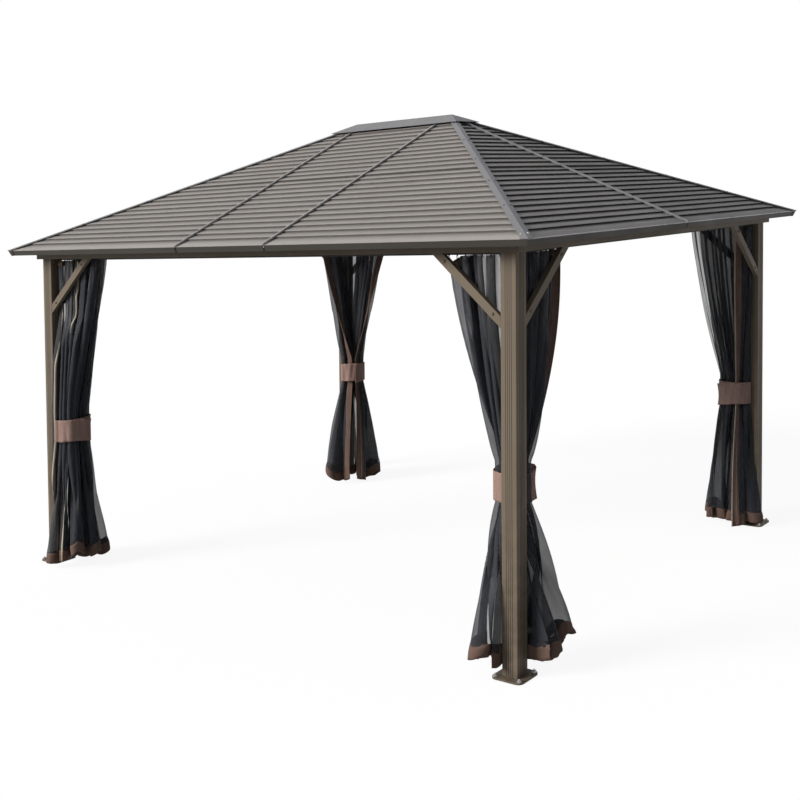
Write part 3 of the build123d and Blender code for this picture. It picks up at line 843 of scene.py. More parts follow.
@dataclass
class Fixings:
    """Anchor bolts, screws, curtain gliders and the caps over the roof's seams."""

    WASHER = Turning(0.0125, 0.0125, 0.0, 0.002, 24)
    NUT = (Turning(0.0095, 0.0095, 0.002, 0.0075, 6), Turning(0.00855, 0.0057, 0.0075, 0.0085, 6))
    STUD = Turning(0.005, 0.0045, 0.0085, 0.013, 14)
    SCREW = (
        Turning(0.008775, 0.00845, 0.0, 0.0012, 20),
        Turning(0.0065, 0.00598, 0.0012, 0.003, 16),
        Turning(0.00598, 0.002925, 0.003, 0.0046, 16),
    )
    STEM = Turning(0.0035, 0.0035, -0.006, 0.0, 10)

    finishes: Finishes
    roof: RoofPlan
    anchor_offset: float = 0.060
    nut_turn: Pair = (31.0, 17.0)
    brace_spots: tuple[Pair, Pair] = ((0.040, 0.261), (0.294, 0.036))
    glider_pitch: float = 0.045
    eye_drop: float = 0.0095
    eye_radius: float = 0.0045
    eye_wire: float = 0.0012
    hip_count: int = 6
    hip_start: float = 0.022
    hip_run: float = 0.9
    hip_size: float = 0.8
    cap_width: float = 0.0096
    cap_height: float = 0.0084
    ridge_gap: float = 0.004

    def _screw(self, bm: bmesh.types.BMesh, point: Vector, normal: Vector, size: float = 1.0) -> None:
        """Adds a domed screw head on a washer.

        Args:
            bm: The mesh to add to.
            point: Where it stands.
            normal: The way it points.
            size: How much larger it is made.
        """
        place = Matrix.Translation(point) @ normal.to_track_quat("Z", "Y").to_matrix().to_4x4()
        for step in self.SCREW:
            step.add(bm, place, size)

    def anchors(self) -> None:
        """Builds four anchor bolts on each base plate."""
        bm = bmesh.new()
        offsets = (-self.anchor_offset, self.anchor_offset)
        for corner, dx, dy in itertools.product(Corner, offsets, offsets):
            low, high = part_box(corner.node("base_plate"))
            centre = (low + high) / 2
            place = Matrix.Translation((centre.x + dx, centre.y + dy, high.z))
            turned = place @ Matrix.Rotation(dx * self.nut_turn[0] + dy * self.nut_turn[1], 4, "Z")
            self.WASHER.add(bm, place)
            for step in self.NUT:
                step.add(bm, turned)
            self.STUD.add(bm, place)
        make_piece("anchor_bolts", bm, self.finishes["zinc"], smooth=False)

    def brace_screws(self) -> None:
        """Builds a screw near both ends of each knee brace, on its outer face."""
        bm = bmesh.new()
        for corner in Corner:
            sx, sy = corner.signs
            inner_x, inner_y = corner.inner_faces()
            low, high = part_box(corner.node("knee_braces"))
            out_x = max(abs(low.x), abs(high.x))
            out_y = max(abs(low.y), abs(high.y))
            for along, drop in self.brace_spots:
                z = high.z - drop
                self._screw(bm, Vector((sx * (inner_x - along), sy * out_y, z)), Vector((0, sy, 0)))
                self._screw(bm, Vector((sx * out_x, sy * (inner_y - along), z)), Vector((sx, 0, 0)))
        make_piece("brace_screws", bm, self.finishes["frame_coat"])

    def gliders(self, reaches: dict[Corner, Pair]) -> None:
        """Builds the gliders that carry the nets on the rails.

        Args:
            reaches: How far each net reaches along the long and the short side from its post.
        """
        bm = bmesh.new()
        for corner, (reach_x, reach_y) in reaches.items():
            sx, sy = corner.signs
            inner_x, inner_y = corner.inner_faces()
            long_rail, short_rail = (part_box(f"curtain_rail_{side}") for side in corner.sides)
            y = (long_rail[0].y + long_rail[1].y) / 2
            x = (short_rail[0].x + short_rail[1].x) / 2
            z = long_rail[0].z
            for step in range(1, int(reach_x / self.glider_pitch) + 1):
                self._glider(bm, Vector((sx * (inner_x - step * self.glider_pitch), y, z)))
            for step in range(1, int(reach_y / self.glider_pitch) + 1):
                self._glider(bm, Vector((x, sy * (inner_y - step * self.glider_pitch), z)))
        make_piece("curtain_gliders", bm, self.finishes["rail_coat"])

    def _glider(self, bm: bmesh.types.BMesh, point: Vector) -> None:
        """Adds one glider: a short stem below the rail with an eye."""
        place = Matrix.Translation(point)
        self.STEM.add(bm, place)
        eye = place @ Matrix.Translation((0.0, 0.0, -self.eye_drop))
        section = eye @ Matrix.Translation((self.eye_radius, 0.0, 0.0))
        wire = bmesh.ops.create_circle(bm, cap_ends=False, segments=8, radius=self.eye_wire, matrix=section)
        edges = list({edge for vert in wire["verts"] for edge in vert.link_edges})
        bmesh.ops.spin(
            bm,
            geom=wire["verts"] + edges,
            cent=eye.translation,
            axis=(0.0, 1.0, 0.0),
            angle=math.tau,
            steps=14,
            use_merge=True,
        )

    def hip_screws(self) -> None:
        """Builds the screws along both faces of the hip caps, with bright ones at the feet."""
        painted, bright = bmesh.new(), bmesh.new()
        for corner, step in itertools.product(Corner, range(self.hip_count)):
            share = self.hip_start + self.hip_run * step / (self.hip_count - 1)
            for point, normal in self.roof.hip_spots(corner, share):
                self._screw(bright if step == 0 else painted, point, normal, self.hip_size)
        make_piece("hip_screws", painted, self.finishes["roof_trim"])
        make_piece("hip_foot_screws", bright, self.finishes["zinc"])

    def seam_caps(self) -> None:
        """Builds the narrow caps that snap over the seams and stand on the slats' crests. The long slopes'
        caps take a lighter finish: partly their own paint, partly painted light that keeps their shaded
        walls light. The short slopes' caps take the darker trim finish as painted shade.
        """
        front, side = bmesh.new(), bmesh.new()
        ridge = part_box("ridge_cap")[1] + Vector((self.ridge_gap, self.ridge_gap, 0.0))
        for foot, top, normal in self.roof.seam_runs(ridge):
            bm = front if normal.x == 0.0 else side
            run = top - foot
            along = run.normalized()
            turn = Matrix((along, normal.cross(along), normal)).transposed().to_4x4()
            place = Matrix.Translation((foot + top) / 2 + normal * self.cap_height / 2)
            size = Matrix.Diagonal((run.length, self.cap_width, self.cap_height, 1.0))
            bmesh.ops.create_cube(bm, size=1.0, matrix=place @ turn @ size)
        make_piece("front_seam_caps", front, self.finishes["seam_cap"], smooth=False)
        make_piece("side_seam_caps", side, self.finishes["roof_trim"], smooth=False)


def bessel(order: int, value: Array | float) -> Array | float:
    """Returns the Bessel function of the first kind, by its series."""
    half = np.asarray(value) / 2
    total = half * 0.0
    for k in range(10):
        below = float(math.factorial(k) * math.factorial(k + order))
        total = total + (-1) ** k * half ** (2 * k + order) / below
    return total


@dataclass(frozen=True)
class Ripple:
    """A sine ripple across the cloth: its size, and how many times it repeats over the width."""

    size: float
    count: float

    def at(self, sigma: Array, phase: Array | float) -> Array:
        """Returns the ripple at positions from 0 to 1 across the cloth."""
        return self.size * np.sin(math.tau * self.count * sigma + phase)


@dataclass(frozen=True)
class Drape:
    """How one corner net hangs. Plan distances run inward from the post's inner faces, in metres."""

    corner: Corner
    head: tuple[Plan, ...]
    axis: Plan
    start: float
    sweep: float
    tie_end: float
    tie_turn: float
    width: float = 2.75
    drop: float = 1.8
    pleats: float = 15.0
    fullness: tuple[Pair, ...] = ((0.0, 0.1), (0.1, 0.3), (0.25, 1.0), (0.75, 1.0), (0.9, 0.3), (1.0, 0.1))
    fall: Pair = (1.4, 1.4)
    waist: float = 0.05
    flare: Pair = (0.0, 0.0)
    hem_turn: float = 0.0
    hem_shift: Plan = (0.0, 0.0)
    hem_radius: float = 0.125
    tie_radius: float = 0.082
    droop: float = 0.0
    droop_at: float = 0.0
    header: float = 0.0
    bound: tuple[bool, bool] = (True, True)
    zips: tuple[float, ...] = ()
    seed: int = 1

    @property
    def reach(self) -> Pair:
        """How far the head reaches along the long and the short side."""
        return max(point[0] for point in self.head), max(point[1] for point in self.head)


@dataclass
class CornerNet:
    """A net gathered at one corner post: sheer cloth, brown bindings, zip tapes and a tie-back."""

    # Ripples that make the folds uneven. Rates are in radians per metre of height, turns in radians.
    DRIFT = Ripple(0.008, 2.0)
    DRIFT_RATE = 2.1
    SHIFTS = (Ripple(0.014, 2.6), Ripple(0.007, 6.1))
    SIZES = (Ripple(0.25, 3.7), Ripple(0.15, 8.3))
    SWAY = Ripple(0.004, 5.0)
    SWAY_RATE = 5.3
    WRINKLES = (Ripple(0.0016, 43.0), Ripple(0.0012, 71.0))
    WRINKLE_RATES = (3.1, 2.2)
    WRINKLE_TURNS = (2.0, -3.0)

    drape: Drape
    finishes: Finishes
    top: float = 1.8115
    waist_high: float = 0.88
    waist_low: float = 0.74
    columns: int = 420
    rows: int = 116
    level_count: int = 72
    halvings: int = 22
    oversampling: int = 4
    settling: int = 5
    first_step: float = 0.97
    least_step: float = 0.3
    most_bend: float = 2.5
    gathered_at: float = 0.96
    bell_power: float = 2.2
    flare_share: float = 0.2
    squeeze: float = 0.1
    squeeze_power: float = 1.5
    swag: float = 0.002
    droop_share: float = 0.08
    floor_gap: float = 0.012
    clearance: float = 0.008
    brace_foot: float = 1.49
    brace_gap: float = 0.046
    brace_slope: float = 0.22
    band: float = 0.062
    hem_band: float = 0.06
    header_band: float = 0.035
    binding_thickness: float = 0.0016
    zip_thickness: float = 0.0035

    def __post_init__(self) -> None:
        """Lays out the gathered head and solves how the folds take up the cloth at each height."""
        self.inner = self.drape.corner.inner_faces()
        self.phases = np.random.default_rng(self.drape.seed).uniform(0.0, math.tau, 16)
        self.path_s, self.path_a, self.path_b = self._head_path()
        even = np.linspace(0.0, 1.0, 801)
        self.gain = 1.0 / float(np.interp(even, *np.array(self.drape.fullness).T).mean())
        self.levels = np.linspace(0.0, self.top, self.level_count)
        solved = [self._solve_level(z) for z in self.levels]
        self.bends = np.array([bend for bend, _ in solved])
        self.shares = np.stack([share for _, share in solved])

    def _head_path(self) -> tuple[Array, Array, Array]:
        """Returns the head's path as positions from 0 to 1 and plan points, rounded at its turns."""
        points = np.array(self.drape.head)
        lengths = np.concatenate([[0.0], np.cumsum(np.hypot(*np.diff(points, axis=0).T))])
        fine = np.linspace(0.0, lengths[-1], 600)
        path = np.stack([np.interp(fine, lengths, points[:, k]) for k in (0, 1)], axis=1)
        spread = 20
        kernel = np.hanning(2 * spread + 1)
        kernel /= kernel.sum()
        padded = np.pad(path, ((spread, spread), (0, 0)), mode="reflect", reflect_type="odd")
        smooth = np.stack([np.convolve(padded[:, k], kernel, mode="valid") for k in (0, 1)], axis=1)
        run = np.concatenate([[0.0], np.cumsum(np.hypot(*np.diff(smooth, axis=0).T))])
        return run / run[-1], smooth[:, 0], smooth[:, 1]

    def _fall(self, z: Array) -> Array:
        """Returns how far down each height is from the head, at 0, to the waist, at 1."""
        return np.clip((self.top - z) / (self.top - self.waist_high), 0.0, 1.0)

    def _below(self, z: Array) -> Array:
        """Returns how far down each height is from the waist, at 0, to the ground, at 1."""
        return np.clip((self.waist_low - z) / self.waist_low, 0.0, 1.0)

    def _guide(self, sigma: Array, z: Array) -> tuple[Array, Array]:
        """Returns the plan line that the folds swing about.

        Args:
            sigma: Positions across the net, from 0 to 1.
            z: The height of each position.

        Returns:
            The two plan distances from the post's inner faces.
        """
        drape = self.drape
        head_a = np.interp(sigma, self.path_s, self.path_a)
        head_b = np.interp(sigma, self.path_s, self.path_b)
        ease = drape.fall[0] + (drape.fall[1] - drape.fall[0]) * np.clip(sigma, 0.0, 1.0)
        pull = np.clip(self._fall(z) / self.gathered_at, 0.0, 1.0) ** ease
        bell = 1.0 - (1.0 - self._below(z)) ** self.bell_power
        radius = drape.waist + (drape.hem_radius - drape.waist) * bell
        sides = (0.0, self.flare_share, 1.0 - self.flare_share, 1.0)
        radius = radius + np.interp(sigma, sides, (drape.flare[0], 0.0, 0.0, drape.flare[1]))
        angle = np.radians(drape.start + (drape.sweep + drape.hem_turn * bell) * sigma)
        ring_a = drape.axis[0] + drape.hem_shift[0] * bell + radius * np.cos(angle)
        ring_b = drape.axis[1] + drape.hem_shift[1] * bell + radius * np.sin(angle)
        return head_a + (ring_a - head_a) * pull, head_b + (ring_b - head_b) * pull

    def _folds(self, sigma: Array, z: Array, bend: Array | float) -> tuple[Array, Array]:
        """Returns how far the folds swing along and across the guide.

        The folds follow a meander whose direction swings by an angle either way, so that they lap over one
        another like gathered cloth. They join in pairs towards the hem.

        Args:
            sigma: Positions across the net, from 0 to 1.
            z: The height of each position.
            bend: The angle by which the meander swings, in radians.

        Returns:
            The offsets along and across the guide, in metres.
        """
        p = self.phases
        below = self._below(z)
        merge = below * below * (3.0 - 2.0 * below)
        drift = self.DRIFT.at(sigma, p[1]) * np.sin(self.DRIFT_RATE * z + p[0])
        warp = sigma + self.SHIFTS[0].at(sigma, p[2]) + self.SHIFTS[1].at(sigma, p[3])
        turn = math.tau * self.drape.pleats * (warp + drift)
        wave = self.gain * self.drape.width / self.drape.pleats
        fine_along, fine_across = self._meander(turn, bend, wave)
        broad_along, broad_across = self._meander(turn / 2 + p[5], bend, 2 * wave)
        uneven = 1.0 + self.SIZES[0].at(sigma, p[7]) + self.SIZES[1].at(sigma, p[8])
        tight = np.where(z > self.waist_low, self._fall(z) ** self.squeeze_power, 1.0 - below)
        spread = np.clip(0.5 + (sigma - 0.5) * (1.0 + self.squeeze * tight), 0.0, 1.0)
        size = uneven * np.interp(spread, *np.array(self.drape.fullness).T)
        along = (1.0 - merge) * fine_along + merge * broad_along
        across = (1.0 - merge) * fine_across + merge * broad_across
        return along * size, across * size

    @staticmethod
    def _meander(turn: Array, bend: Array | float, wave: float) -> tuple[Array, Array]:
        """Returns the offsets of a sine-generated meander from its even advance.

        Args:
            turn: The phase along the meander, in radians.
            bend: The angle by which its direction swings, in radians.
            wave: The length of cloth in one wave.

        Returns:
            The offsets along and across, in metres.
        """
        along = bessel(2, bend) * np.sin(2 * turn) + bessel(4, bend) / 2 * np.sin(4 * turn)
        across = bessel(1, bend) * np.cos(turn) + bessel(3, bend) / 3 * np.cos(3 * turn)
        return wave / math.tau * along, wave / math.pi * across

    def _plan(self, sigma: Array, z: Array, bend: Array | float) -> tuple[Array, Array]:
        """Returns the plan points of the cloth.

        Args:
            sigma: Positions across the net, from 0 to 1.
            z: The height of each position.
            bend: The angle by which the folds swing there.

        Returns:
            The two plan distances from the post's inner faces.
        """
        step = 1.5e-3
        a, b = self._guide(sigma, z)
        a_next, b_next = self._guide(sigma + step, z)
        a_last, b_last = self._guide(sigma - step, z)
        way_a, way_b = a_next - a_last, b_next - b_last
        size = np.maximum(np.hypot(way_a, way_b), 1e-9)
        way_a, way_b = way_a / size, way_b / size
        along, across = self._folds(sigma, z, bend)
        p = self.phases
        sway = self.SWAY.at(sigma, p[10]) * np.sin(self.SWAY_RATE * z + p[9])
        first = self.WRINKLE_TURNS[0] * np.sin(self.WRINKLE_RATES[0] * z + p[12]) + p[13]
        second = self.WRINKLE_TURNS[1] * np.sin(self.WRINKLE_RATES[1] * z + p[14])
        across = across + self.WRINKLES[0].at(sigma, first) + self.WRINKLES[1].at(sigma, second)
        a = a + way_a * along - way_b * across + sway
        b = b + way_b * along + way_a * across - sway
        edge = -self.brace_gap - self.brace_slope * np.clip(self.brace_foot - z, 0.0, 1.0)
        return self.clear_post(np.maximum(a, edge), np.maximum(b, edge), self.clearance)

    @staticmethod
    def clear_post(a: Array, b: Array, gap: float) -> tuple[Array, Array]:
        """Moves plan points out of the post."""
        inside = (a < gap) & (b < gap)
        push = np.where(inside, gap - np.maximum(a, b), 0.0)
        return a + push, b + push

    def _solve_level(self, z: float) -> tuple[float, Array]:
        """Solves how the folds take up the net's whole width at one height.

        Args:
            z: The height.

        Returns:
            The angle by which the folds swing, and where each column of cloth lies across the net.
        """
        sigma = np.linspace(0.0, 1.0, self.oversampling * self.columns + 1)
        level = np.full_like(sigma, z)
        low, high = 0.0, self.most_bend
        for _ in range(self.halvings):
            middle = (low + high) / 2
            a, b = self._plan(sigma, level, middle)
            run = np.concatenate([[0.0], np.cumsum(np.hypot(np.diff(a), np.diff(b)))])
            if run[-1] < self.drape.width:
                low = middle
            else:
                high = middle
        even = np.linspace(0.0, 1.0, self.columns + 1)
        return middle, np.interp(even, run / run[-1], sigma)

    def _row(self, z: Array) -> tuple[Array, Array]:
        """Returns the plan points of all columns of cloth, each at its own height."""
        place = np.clip(z / self.top, 0.0, 1.0) * (len(self.levels) - 1)
        below = np.minimum(place.astype(int), len(self.levels) - 2)
        part = place - below
        column = np.arange(self.columns + 1)
        sigma = (1.0 - part) * self.shares[below, column] + part * self.shares[below + 1, column]
        return self._plan(sigma, z, np.interp(z, self.levels, self.bends))

    def _surface(self) -> Array:
        """Returns the cloth's points, row by row, each column hanging with even steps down the cloth."""
        across = np.linspace(0.0, 1.0, self.columns + 1)
        swag = self.swag * (1.0 - np.cos(math.tau * self.drape.pleats * across + self.phases[11])) / 2
        from_droop = (self.shares[-1] - self.drape.droop_at) / self.droop_share
        z = self.top - swag - self.drape.droop * np.exp(-(from_droop**2))
        a, b = self._row(z)
        step = self.drape.drop / self.rows
        points = [np.stack([a, b, z], axis=1)]
        for _ in range(self.rows):
            lower = z - step * self.first_step
            for _ in range(self.settling):
                next_a, next_b = self._row(lower)
                aside = (next_a - a) ** 2 + (next_b - b) ** 2
                lower = z - np.sqrt(np.maximum(step * step - aside, (self.least_step * step) ** 2))
            z = np.maximum(lower, self.floor_gap)
            a, b = next_a, next_b
            points.append(np.stack([a, b, z], axis=1))
        return np.stack(points)

    def to_row(self, points: Array) -> Array:
        """Returns local points as places in the row frame."""
        sx, sy = self.drape.corner.signs
        placed = points.copy()
        placed[..., 0] = sx * (self.inner[0] - points[..., 0])
        placed[..., 1] = sy * (self.inner[1] - points[..., 1])
        return placed

    @staticmethod
    def cloth(points: Array) -> bmesh.types.BMesh:
        """Returns a grid of cloth moved to the given points, with UVs over the flat cloth."""
        rows, columns = points.shape[0] - 1, points.shape[1] - 1
        bm = bmesh.new()
        bm.loops.layers.uv.new("UVMap")
        bmesh.ops.create_grid(bm, x_segments=columns, y_segments=rows, size=0.5, calc_uvs=True)
        for vert in bm.verts:
            column = round((vert.co.x + 0.5) * columns)
            row = round((0.5 - vert.co.y) * rows)
            vert.co = points[row, column]
        return bm

    def _strip(self, points: Array, keep: Array) -> bmesh.types.BMesh:
        """Returns the part of the cloth's grid that a binding covers.

        Args:
            points: The cloth's points.
            keep: For each face of the grid, by row and column, whether it stays.

        Returns:
            The covered part.
        """
        rows, columns = keep.shape
        bm = self.cloth(points)
        uv = bm.loops.layers.uv.active
        spare = []
        for face in bm.faces:
            centre = sum((loop[uv].uv for loop in face.loops), Vector((0.0, 0.0))) / len(face.loops)
            column = min(int(centre.x * columns), columns - 1)
            row = min(int((1.0 - centre.y) * rows), rows - 1)
            if not keep[row, column]:
                spare.append(face)
        bmesh.ops.delete(bm, geom=spare, context="FACES")
        return bm

    def _masks(self) -> tuple[Array, Array]:
        """Returns which faces of the grid are binding and which are zip tape."""
        drape = self.drape
        across = (np.arange(self.columns) + 0.5) / self.columns * drape.width
        down = (np.arange(self.rows) + 0.5) / self.rows * drape.drop
        first = (across < self.band) & drape.bound[0]
        last = (across > drape.width - self.band) & drape.bound[1]
        end = down > drape.drop - self.hem_band
        head = (down < self.header_band)[:, None] & (across < drape.header * drape.width)[None, :]
        tape = np.zeros((self.rows, self.columns), bool)
        for place in drape.zips:
            column = min(int(place * self.columns), self.columns - 2)
            tape[:, column : column + 2] = True
        return ((first | last)[None, :] | end[:, None] | head) & ~tape, tape

    def build(self) -> None:
        """Builds the net with its bindings, zip tapes and tie-back."""
        corner = self.drape.corner
        surface = self._surface()
        points = self.to_row(surface)
        binding_faces, tape_faces = self._masks()
        sheer, brown = self.finishes["insect_net"], self.finishes["brown_tape"]
        net = make_piece(corner.node("cloth"), self.cloth(points), sheer)
        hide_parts(corner.node("net"))
        strip = self._strip(points, binding_faces)
        binding = make_piece(corner.node("binding"), strip, brown)
        thicken(binding, self.binding_thickness)
        if self.drape.zips:
            strip = self._strip(points, tape_faces)
            tape = make_piece(corner.node("zip"), strip, self.finishes["zip_tape"])
            thicken(tape, self.zip_thickness)
        rails = [f"curtain_rail_{side}" for side in corner.sides]
        TieBack(self, surface).build(net)


@dataclass
class TieBack:
    """The strap round a gathered net, with a loose end."""

    # The size of each ripple, and its radians per metre along the strap and over its height.
    RIPPLES = ((0.0022, 61.0, 2.0), (0.0015, 143.0, -3.0))

    net: CornerNet
    surface: Array
    length: float = 0.66
    height: float = 0.13
    flap: float = 0.075
    columns: int = 132
    rows: int = 12
    sectors: int = 96
    slack: float = 0.003
    most_bulge: float = 0.016
    thickness: float = 0.0025
    overlap: float = 0.004
    loose_lift: float = 0.026
    loose_drop: float = 0.012
    flare: float = 0.006
    tilt: float = 0.006
    tilt_from: float = 0.7
    post_gap: float = 0.003

    @property
    def middle(self) -> float:
        """The height of the strap's middle."""
        return (self.net.waist_high + self.net.waist_low) / 2

    def _girth(self, angle: Array) -> Array:
        """Returns how far the gathered cloth reaches from the tie's axis at the given angles."""
        axis = self.net.drape.axis
        held = np.abs(self.surface[..., 2] - self.middle) < self.height / 2
        a = self.surface[held][:, 0] - axis[0]
        b = self.surface[held][:, 1] - axis[1]
        sector = (np.arctan2(b, a) / math.tau * self.sectors).astype(int) % self.sectors
        reach = np.zeros(self.sectors)
        np.maximum.at(reach, sector, np.hypot(a, b))
        reach = np.maximum(reach, np.maximum(np.roll(reach, 1), np.roll(reach, -1)))
        reach = (np.roll(reach, 1) + 2.0 * reach + np.roll(reach, -1)) / 4.0
        centres = (np.arange(self.sectors) + 0.5) / self.sectors * math.tau
        return np.interp(angle, centres, reach, period=math.tau)

    def _points(self) -> Array:
        """Returns the strap's points, row by row, in the net's local plan."""
        drape = self.net.drape
        along = np.linspace(0.0, 1.0, self.columns + 1)
        down = np.linspace(0.0, 1.0, self.rows + 1)
        run, across = np.meshgrid(along * self.length, down)
        loose = np.clip((run - (self.length - self.flap)) / self.flap, 0.0, 1.0)
        lift = self.overlap * run / self.length + self.loose_lift * loose**2
        waist = self.flare * (2.0 * across - 1.0) ** 2
        ripple = sum(size * np.sin(run * rate + across * lean) for size, rate, lean in self.RIPPLES)
        turned = (self.length - run) / (drape.tie_radius + self.overlap)
        angle = math.radians(drape.tie_end) - drape.tie_turn * turned
        full = np.minimum(self._girth(angle) + self.slack, drape.tie_radius + self.most_bulge)
        radius = np.maximum(drape.tie_radius + waist + ripple, full) + lift
        a = drape.axis[0] + radius * np.cos(angle)
        b = drape.axis[1] + radius * np.sin(angle)
        a, b = self.net.clear_post(a, b, self.post_gap)
        slope = self.tilt * np.sin(angle + self.tilt_from)
        z = self.middle + (0.5 - across) * self.height + slope - self.loose_drop * loose
        return np.stack([a, b, z], axis=-1)

    def build(self, net: bpy.types.Object) -> None:
        """Builds the strap.

        Args:
            net: The net that it holds; not used.
        """
        corner = self.net.drape.corner
        points = self.net.to_row(self._points())
        tape = self.net.finishes["tie_tape"]
        strap = make_piece(corner.node("strap"), self.net.cloth(points), tape)
        thicken(strap, self.thickness, 1.0)
        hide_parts(corner.node("tie_back"))


DRAPES = (
    Drape(
        Corner.FRONT_LEFT,
        head=(
            (0.012, -0.044), (0.1, -0.03), (0.25, -0.018), (0.345, -0.004), (0.365, 0.022), (0.34, 0.046),
            (0.2, 0.05), (0.07, 0.05), (0.035, 0.085), (0.02, 0.16), (0.02, 0.26),
        ),
        axis=(0.098, -0.015),
        start=-138.0,
        sweep=312.0,
        tie_end=18.0,
        tie_turn=1.0,
        width=2.85,
        fullness=((0.0, 0.85), (0.1, 0.95), (0.2, 1.0), (0.9, 1.0), (1.0, 0.3)),
        fall=(1.1, 1.2),
        waist=0.048,
        flare=(0.038, 0.0),
        hem_shift=(0.016, 0.0),
        hem_radius=0.1,
        tie_radius=0.09,
        header=0.05,
        bound=(False, True),
        zips=(0.05, 0.13, 0.2),
        seed=11,
    ),
    Drape(
        Corner.FRONT_RIGHT,
        head=(
            (0.23, 0.048), (0.3, 0.048), (0.348, 0.03), (0.335, 0.008), (0.2, 0.006), (0.07, 0.01),
            (0.026, 0.03), (0.012, 0.1), (0.012, 0.25), (0.03, 0.335), (-0.022, 0.375),
        ),
        axis=(0.02, 0.066),
        start=10.0,
        sweep=-205.0,
        tie_end=40.0,
        tie_turn=1.0,
        fullness=((0.0, 0.05), (0.25, 0.1), (0.32, 1.0), (0.84, 1.0), (0.9, 0.1), (1.0, 0.05)),
        fall=(1.5, 2.3),
        waist=0.041,
        flare=(0.012, 0.018),
        hem_turn=-87.0,
        hem_shift=(0.015, -0.014),
        hem_radius=0.146,
        tie_radius=0.083,
        droop=0.055,
        droop_at=0.13,
        header=0.1,
        seed=23,
    ),
    Drape(
        Corner.BACK_LEFT,
        head=(
            (0.43, 0.006), (0.385, 0.042), (0.33, 0.02), (0.2, 0.012), (0.08, 0.014), (0.03, 0.04),
            (0.014, 0.12), (0.02, 0.21), (0.045, 0.265), (0.008, 0.31),
        ),
        axis=(0.27, 0.235),
        start=39.0,
        sweep=-340.0,
        tie_end=40.0,
        tie_turn=1.0,
        width=2.7,
        drop=1.83,
        fullness=((0.0, 0.05), (0.07, 0.1), (0.12, 1.0), (0.88, 1.0), (0.93, 0.1), (1.0, 0.05)),
        fall=(1.12, 1.12),
        waist=0.039,
        flare=(0.023, 0.023),
        tie_radius=0.076,
        seed=37,
    ),
    Drape(
        Corner.BACK_RIGHT,
        head=(
            (0.345, 0.012), (0.2, 0.012), (0.07, 0.012), (0.01, 0.02), (-0.03, 0.03), (-0.04, 0.05),
            (-0.03, 0.075), (0.03, 0.1),
        ),
        axis=(0.058, 0.024),
        start=35.0,
        sweep=-275.0,
        tie_end=58.0,
        tie_turn=-1.0,
        width=2.7,
        fullness=((0.0, 0.2), (0.1, 0.7), (0.2, 1.0), (0.82, 1.0), (0.88, 0.1), (1.0, 0.05)),
        fall=(1.3, 1.2),
        flare=(0.024, 0.02),
        hem_shift=(0.012, 0.03),
        hem_radius=0.092,
        bound=(False, True),
        zips=(0.999,),
        seed=41,
    ),
)


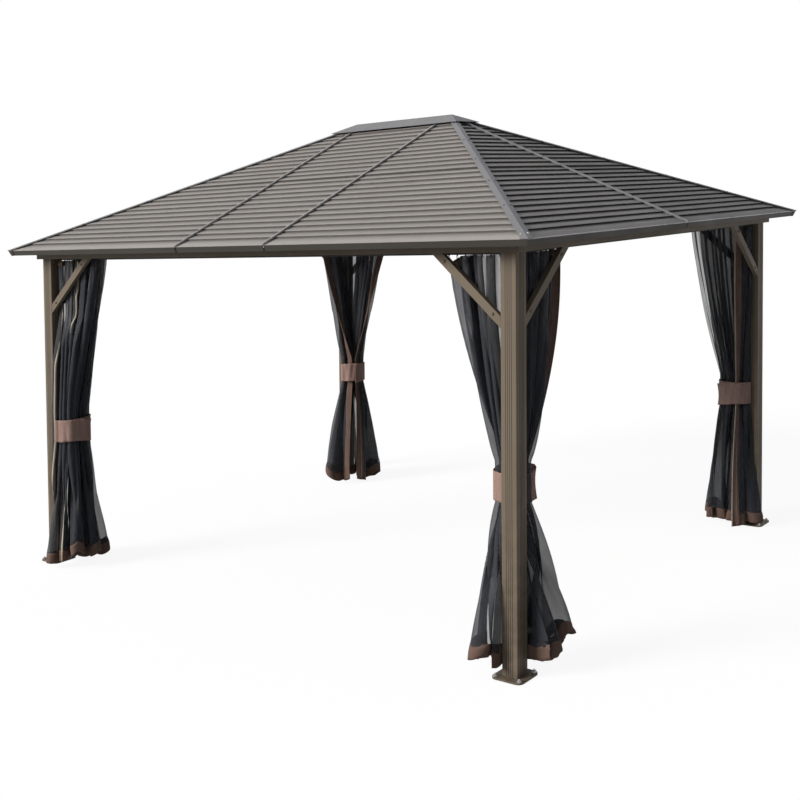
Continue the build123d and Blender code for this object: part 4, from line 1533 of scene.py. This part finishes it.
@dataclass
class Stage:
    """The pale floor, the white surround and the light."""

    sun_towards: Triple = (-0.52, -0.74, 0.42)
    sun_strength: float = 3.1
    sun_angle: float = 25.0
    sun_tint: Colour = (1.0, 0.97, 0.94)
    bright: float = 0.31
    dim: float = 0.1
    sky_tint: Colour = (0.95, 0.98, 1.06)
    sky_towards: Triple = (-0.5, -0.45, 0.74)
    sky_edge: float = -0.7
    floor_size: float = 60.0
    floor_drop: float = 0.001
    floor_glow: float = 1.08
    shadow_share: float = 0.16
    floor_shown: Colour = (0.9, 0.9, 0.9)
    floor_dull: Colour = (0.33, 0.33, 0.33)

    @staticmethod
    def _seen(graph: Graph) -> Socket:
        """Returns 1 for rays that show a surface to the viewer, straight on, mirrored or through it."""
        path = graph.node("ShaderNodeLightPath").outputs
        mirrored = graph.maths("MAXIMUM", path["Is Glossy Ray"], path["Is Transmission Ray"])
        return graph.maths("MAXIMUM", path["Is Camera Ray"], mirrored)

    def floor(self) -> None:
        """Builds the floor, which keeps the gazebo's soft shadow."""
        bm = bmesh.new()
        bmesh.ops.create_grid(bm, x_segments=1, y_segments=1, size=self.floor_size / 2)
        bmesh.ops.translate(bm, verts=bm.verts, vec=(0.0, 0.0, -self.floor_drop))
        mesh = bpy.data.meshes.new("floor")
        bm.to_mesh(mesh)
        bm.free()
        material = bpy.data.materials.new("floor")
        material.use_nodes = True
        graph = Graph(material.node_tree)
        white = {"Color": rgba((1.0, 1.0, 1.0)), "Strength": self.floor_glow}
        glow = graph.node("ShaderNodeEmission", white).outputs[0]
        pale = graph.node("ShaderNodeBsdfDiffuse", {"Color": rgba(self.floor_shown)}).outputs[0]
        dull = graph.node("ShaderNodeBsdfDiffuse", {"Color": rgba(self.floor_dull)}).outputs[0]
        shown = graph.node("ShaderNodeMixShader", {0: self.shadow_share, 1: glow, 2: pale}).outputs[0]
        mixed = graph.node("ShaderNodeMixShader", {0: self._seen(graph), 1: dull, 2: shown})
        graph.node("ShaderNodeOutputMaterial", {"Surface": mixed.outputs[0]})
        mesh.materials.append(material)
        plane = bpy.data.objects.new("floor", mesh)
        bpy.context.scene.collection.objects.link(plane)

    def surround(self) -> None:
        """Lights the scene from a soft sky that is seen as white."""
        world = bpy.data.worlds.new("studio")
        world.use_nodes = True
        graph = Graph(world.node_tree)
        towards = graph.dot(graph.coordinate("Generated"), tuple(Vector(self.sky_towards).normalized()))
        lit = graph.span(towards, self.sky_edge, 1.0)
        tints = [rgba(tuple(level * part for part in self.sky_tint)) for level in (self.dim, self.bright)]
        sky = graph.blend(lit, *tints)
        soft = graph.node("ShaderNodeBackground", {"Color": sky}).outputs[0]
        white = graph.node("ShaderNodeBackground", {"Color": rgba((1.0, 1.0, 1.0))}).outputs[0]
        mixed = graph.node("ShaderNodeMixShader", {0: self._seen(graph), 1: soft, 2: white})
        graph.node("ShaderNodeOutputWorld", {"Surface": mixed.outputs[0]})
        bpy.context.scene.world = world

    def sun(self) -> None:
        """Adds one broad key light from the front left."""
        lamp = bpy.data.lights.new("key", "SUN")
        lamp.energy = self.sun_strength
        lamp.color = self.sun_tint
        lamp.angle = math.radians(self.sun_angle)
        key = bpy.data.objects.new("key", lamp)
        key.rotation_mode = "QUATERNION"
        key.rotation_quaternion = Vector(self.sun_towards).to_track_quat("Z", "Y")
        bpy.context.scene.collection.objects.link(key)

    def build(self) -> None:
        """Builds the floor, the surround and the light."""
        self.floor()
        self.surround()
        self.sun()
        bpy.context.scene.view_settings.view_transform = "Standard"


@dataclass
class PhotoCamera:
    """The photo's camera: a near-level view with the lens shifted down.

    The photo leans by a small shear that no turn of the camera gives. The shear is held by the camera's
    parent, so the other views, which drop the parent, are plain ones.
    """

    position: Triple = (4.309, -5.4264, 2.059)
    yaw: float = 38.6567
    pitch: float = 2.5
    roll: float = -0.4828
    shear: float = -0.0423
    lens: float = 51.895
    shift: float = -0.18448
    sensor: float = 36.0

    def build(self) -> None:
        """Adds the camera and makes it the scene's camera."""
        yaw, pitch, roll = (math.radians(value) for value in (self.yaw, self.pitch, self.roll))
        level = math.cos(pitch)
        forward = Vector((-math.sin(yaw) * level, math.cos(yaw) * level, -math.sin(pitch)))
        right = Vector((math.cos(yaw), math.sin(yaw), 0.0))
        up = right.cross(forward)
        across = math.cos(roll) * right + math.sin(roll) * up
        upright = math.cos(roll) * up - math.sin(roll) * right
        leaned = Matrix((across + self.shear * upright, upright, -forward)).transposed().to_4x4()
        leaned.translation = Vector(self.position)
        lens = bpy.data.cameras.new("photo_camera")
        lens.lens = self.lens
        lens.sensor_width = self.sensor
        lens.shift_y = self.shift
        lens.dof.use_dof = False
        camera = bpy.data.objects.new("photo_camera", lens)
        holder = bpy.data.objects.new("camera_holder", None)
        for item in (holder, camera):
            bpy.context.scene.collection.objects.link(item)
        camera.parent = holder
        camera.matrix_parent_inverse = leaned
        bpy.context.scene.camera = camera


def main() -> None:
    """Builds the whole scene."""
    logging.basicConfig(level=logging.INFO, format="%(name)s: %(message)s")
    roof = RoofPlan()
    finishes = Finishes(Effects(), roof)
    CadDressing(finishes).dress()
    fixings = Fixings(finishes, roof)
    fixings.anchors()
    fixings.brace_screws()
    fixings.hip_screws()
    fixings.seam_caps()
    fixings.gliders({drape.corner: drape.reach for drape in DRAPES})
    for drape in DRAPES:
        CornerNet(drape, finishes).build()
    Stage().build()
    PhotoCamera().build()


if __name__ == "__main__":
    main()
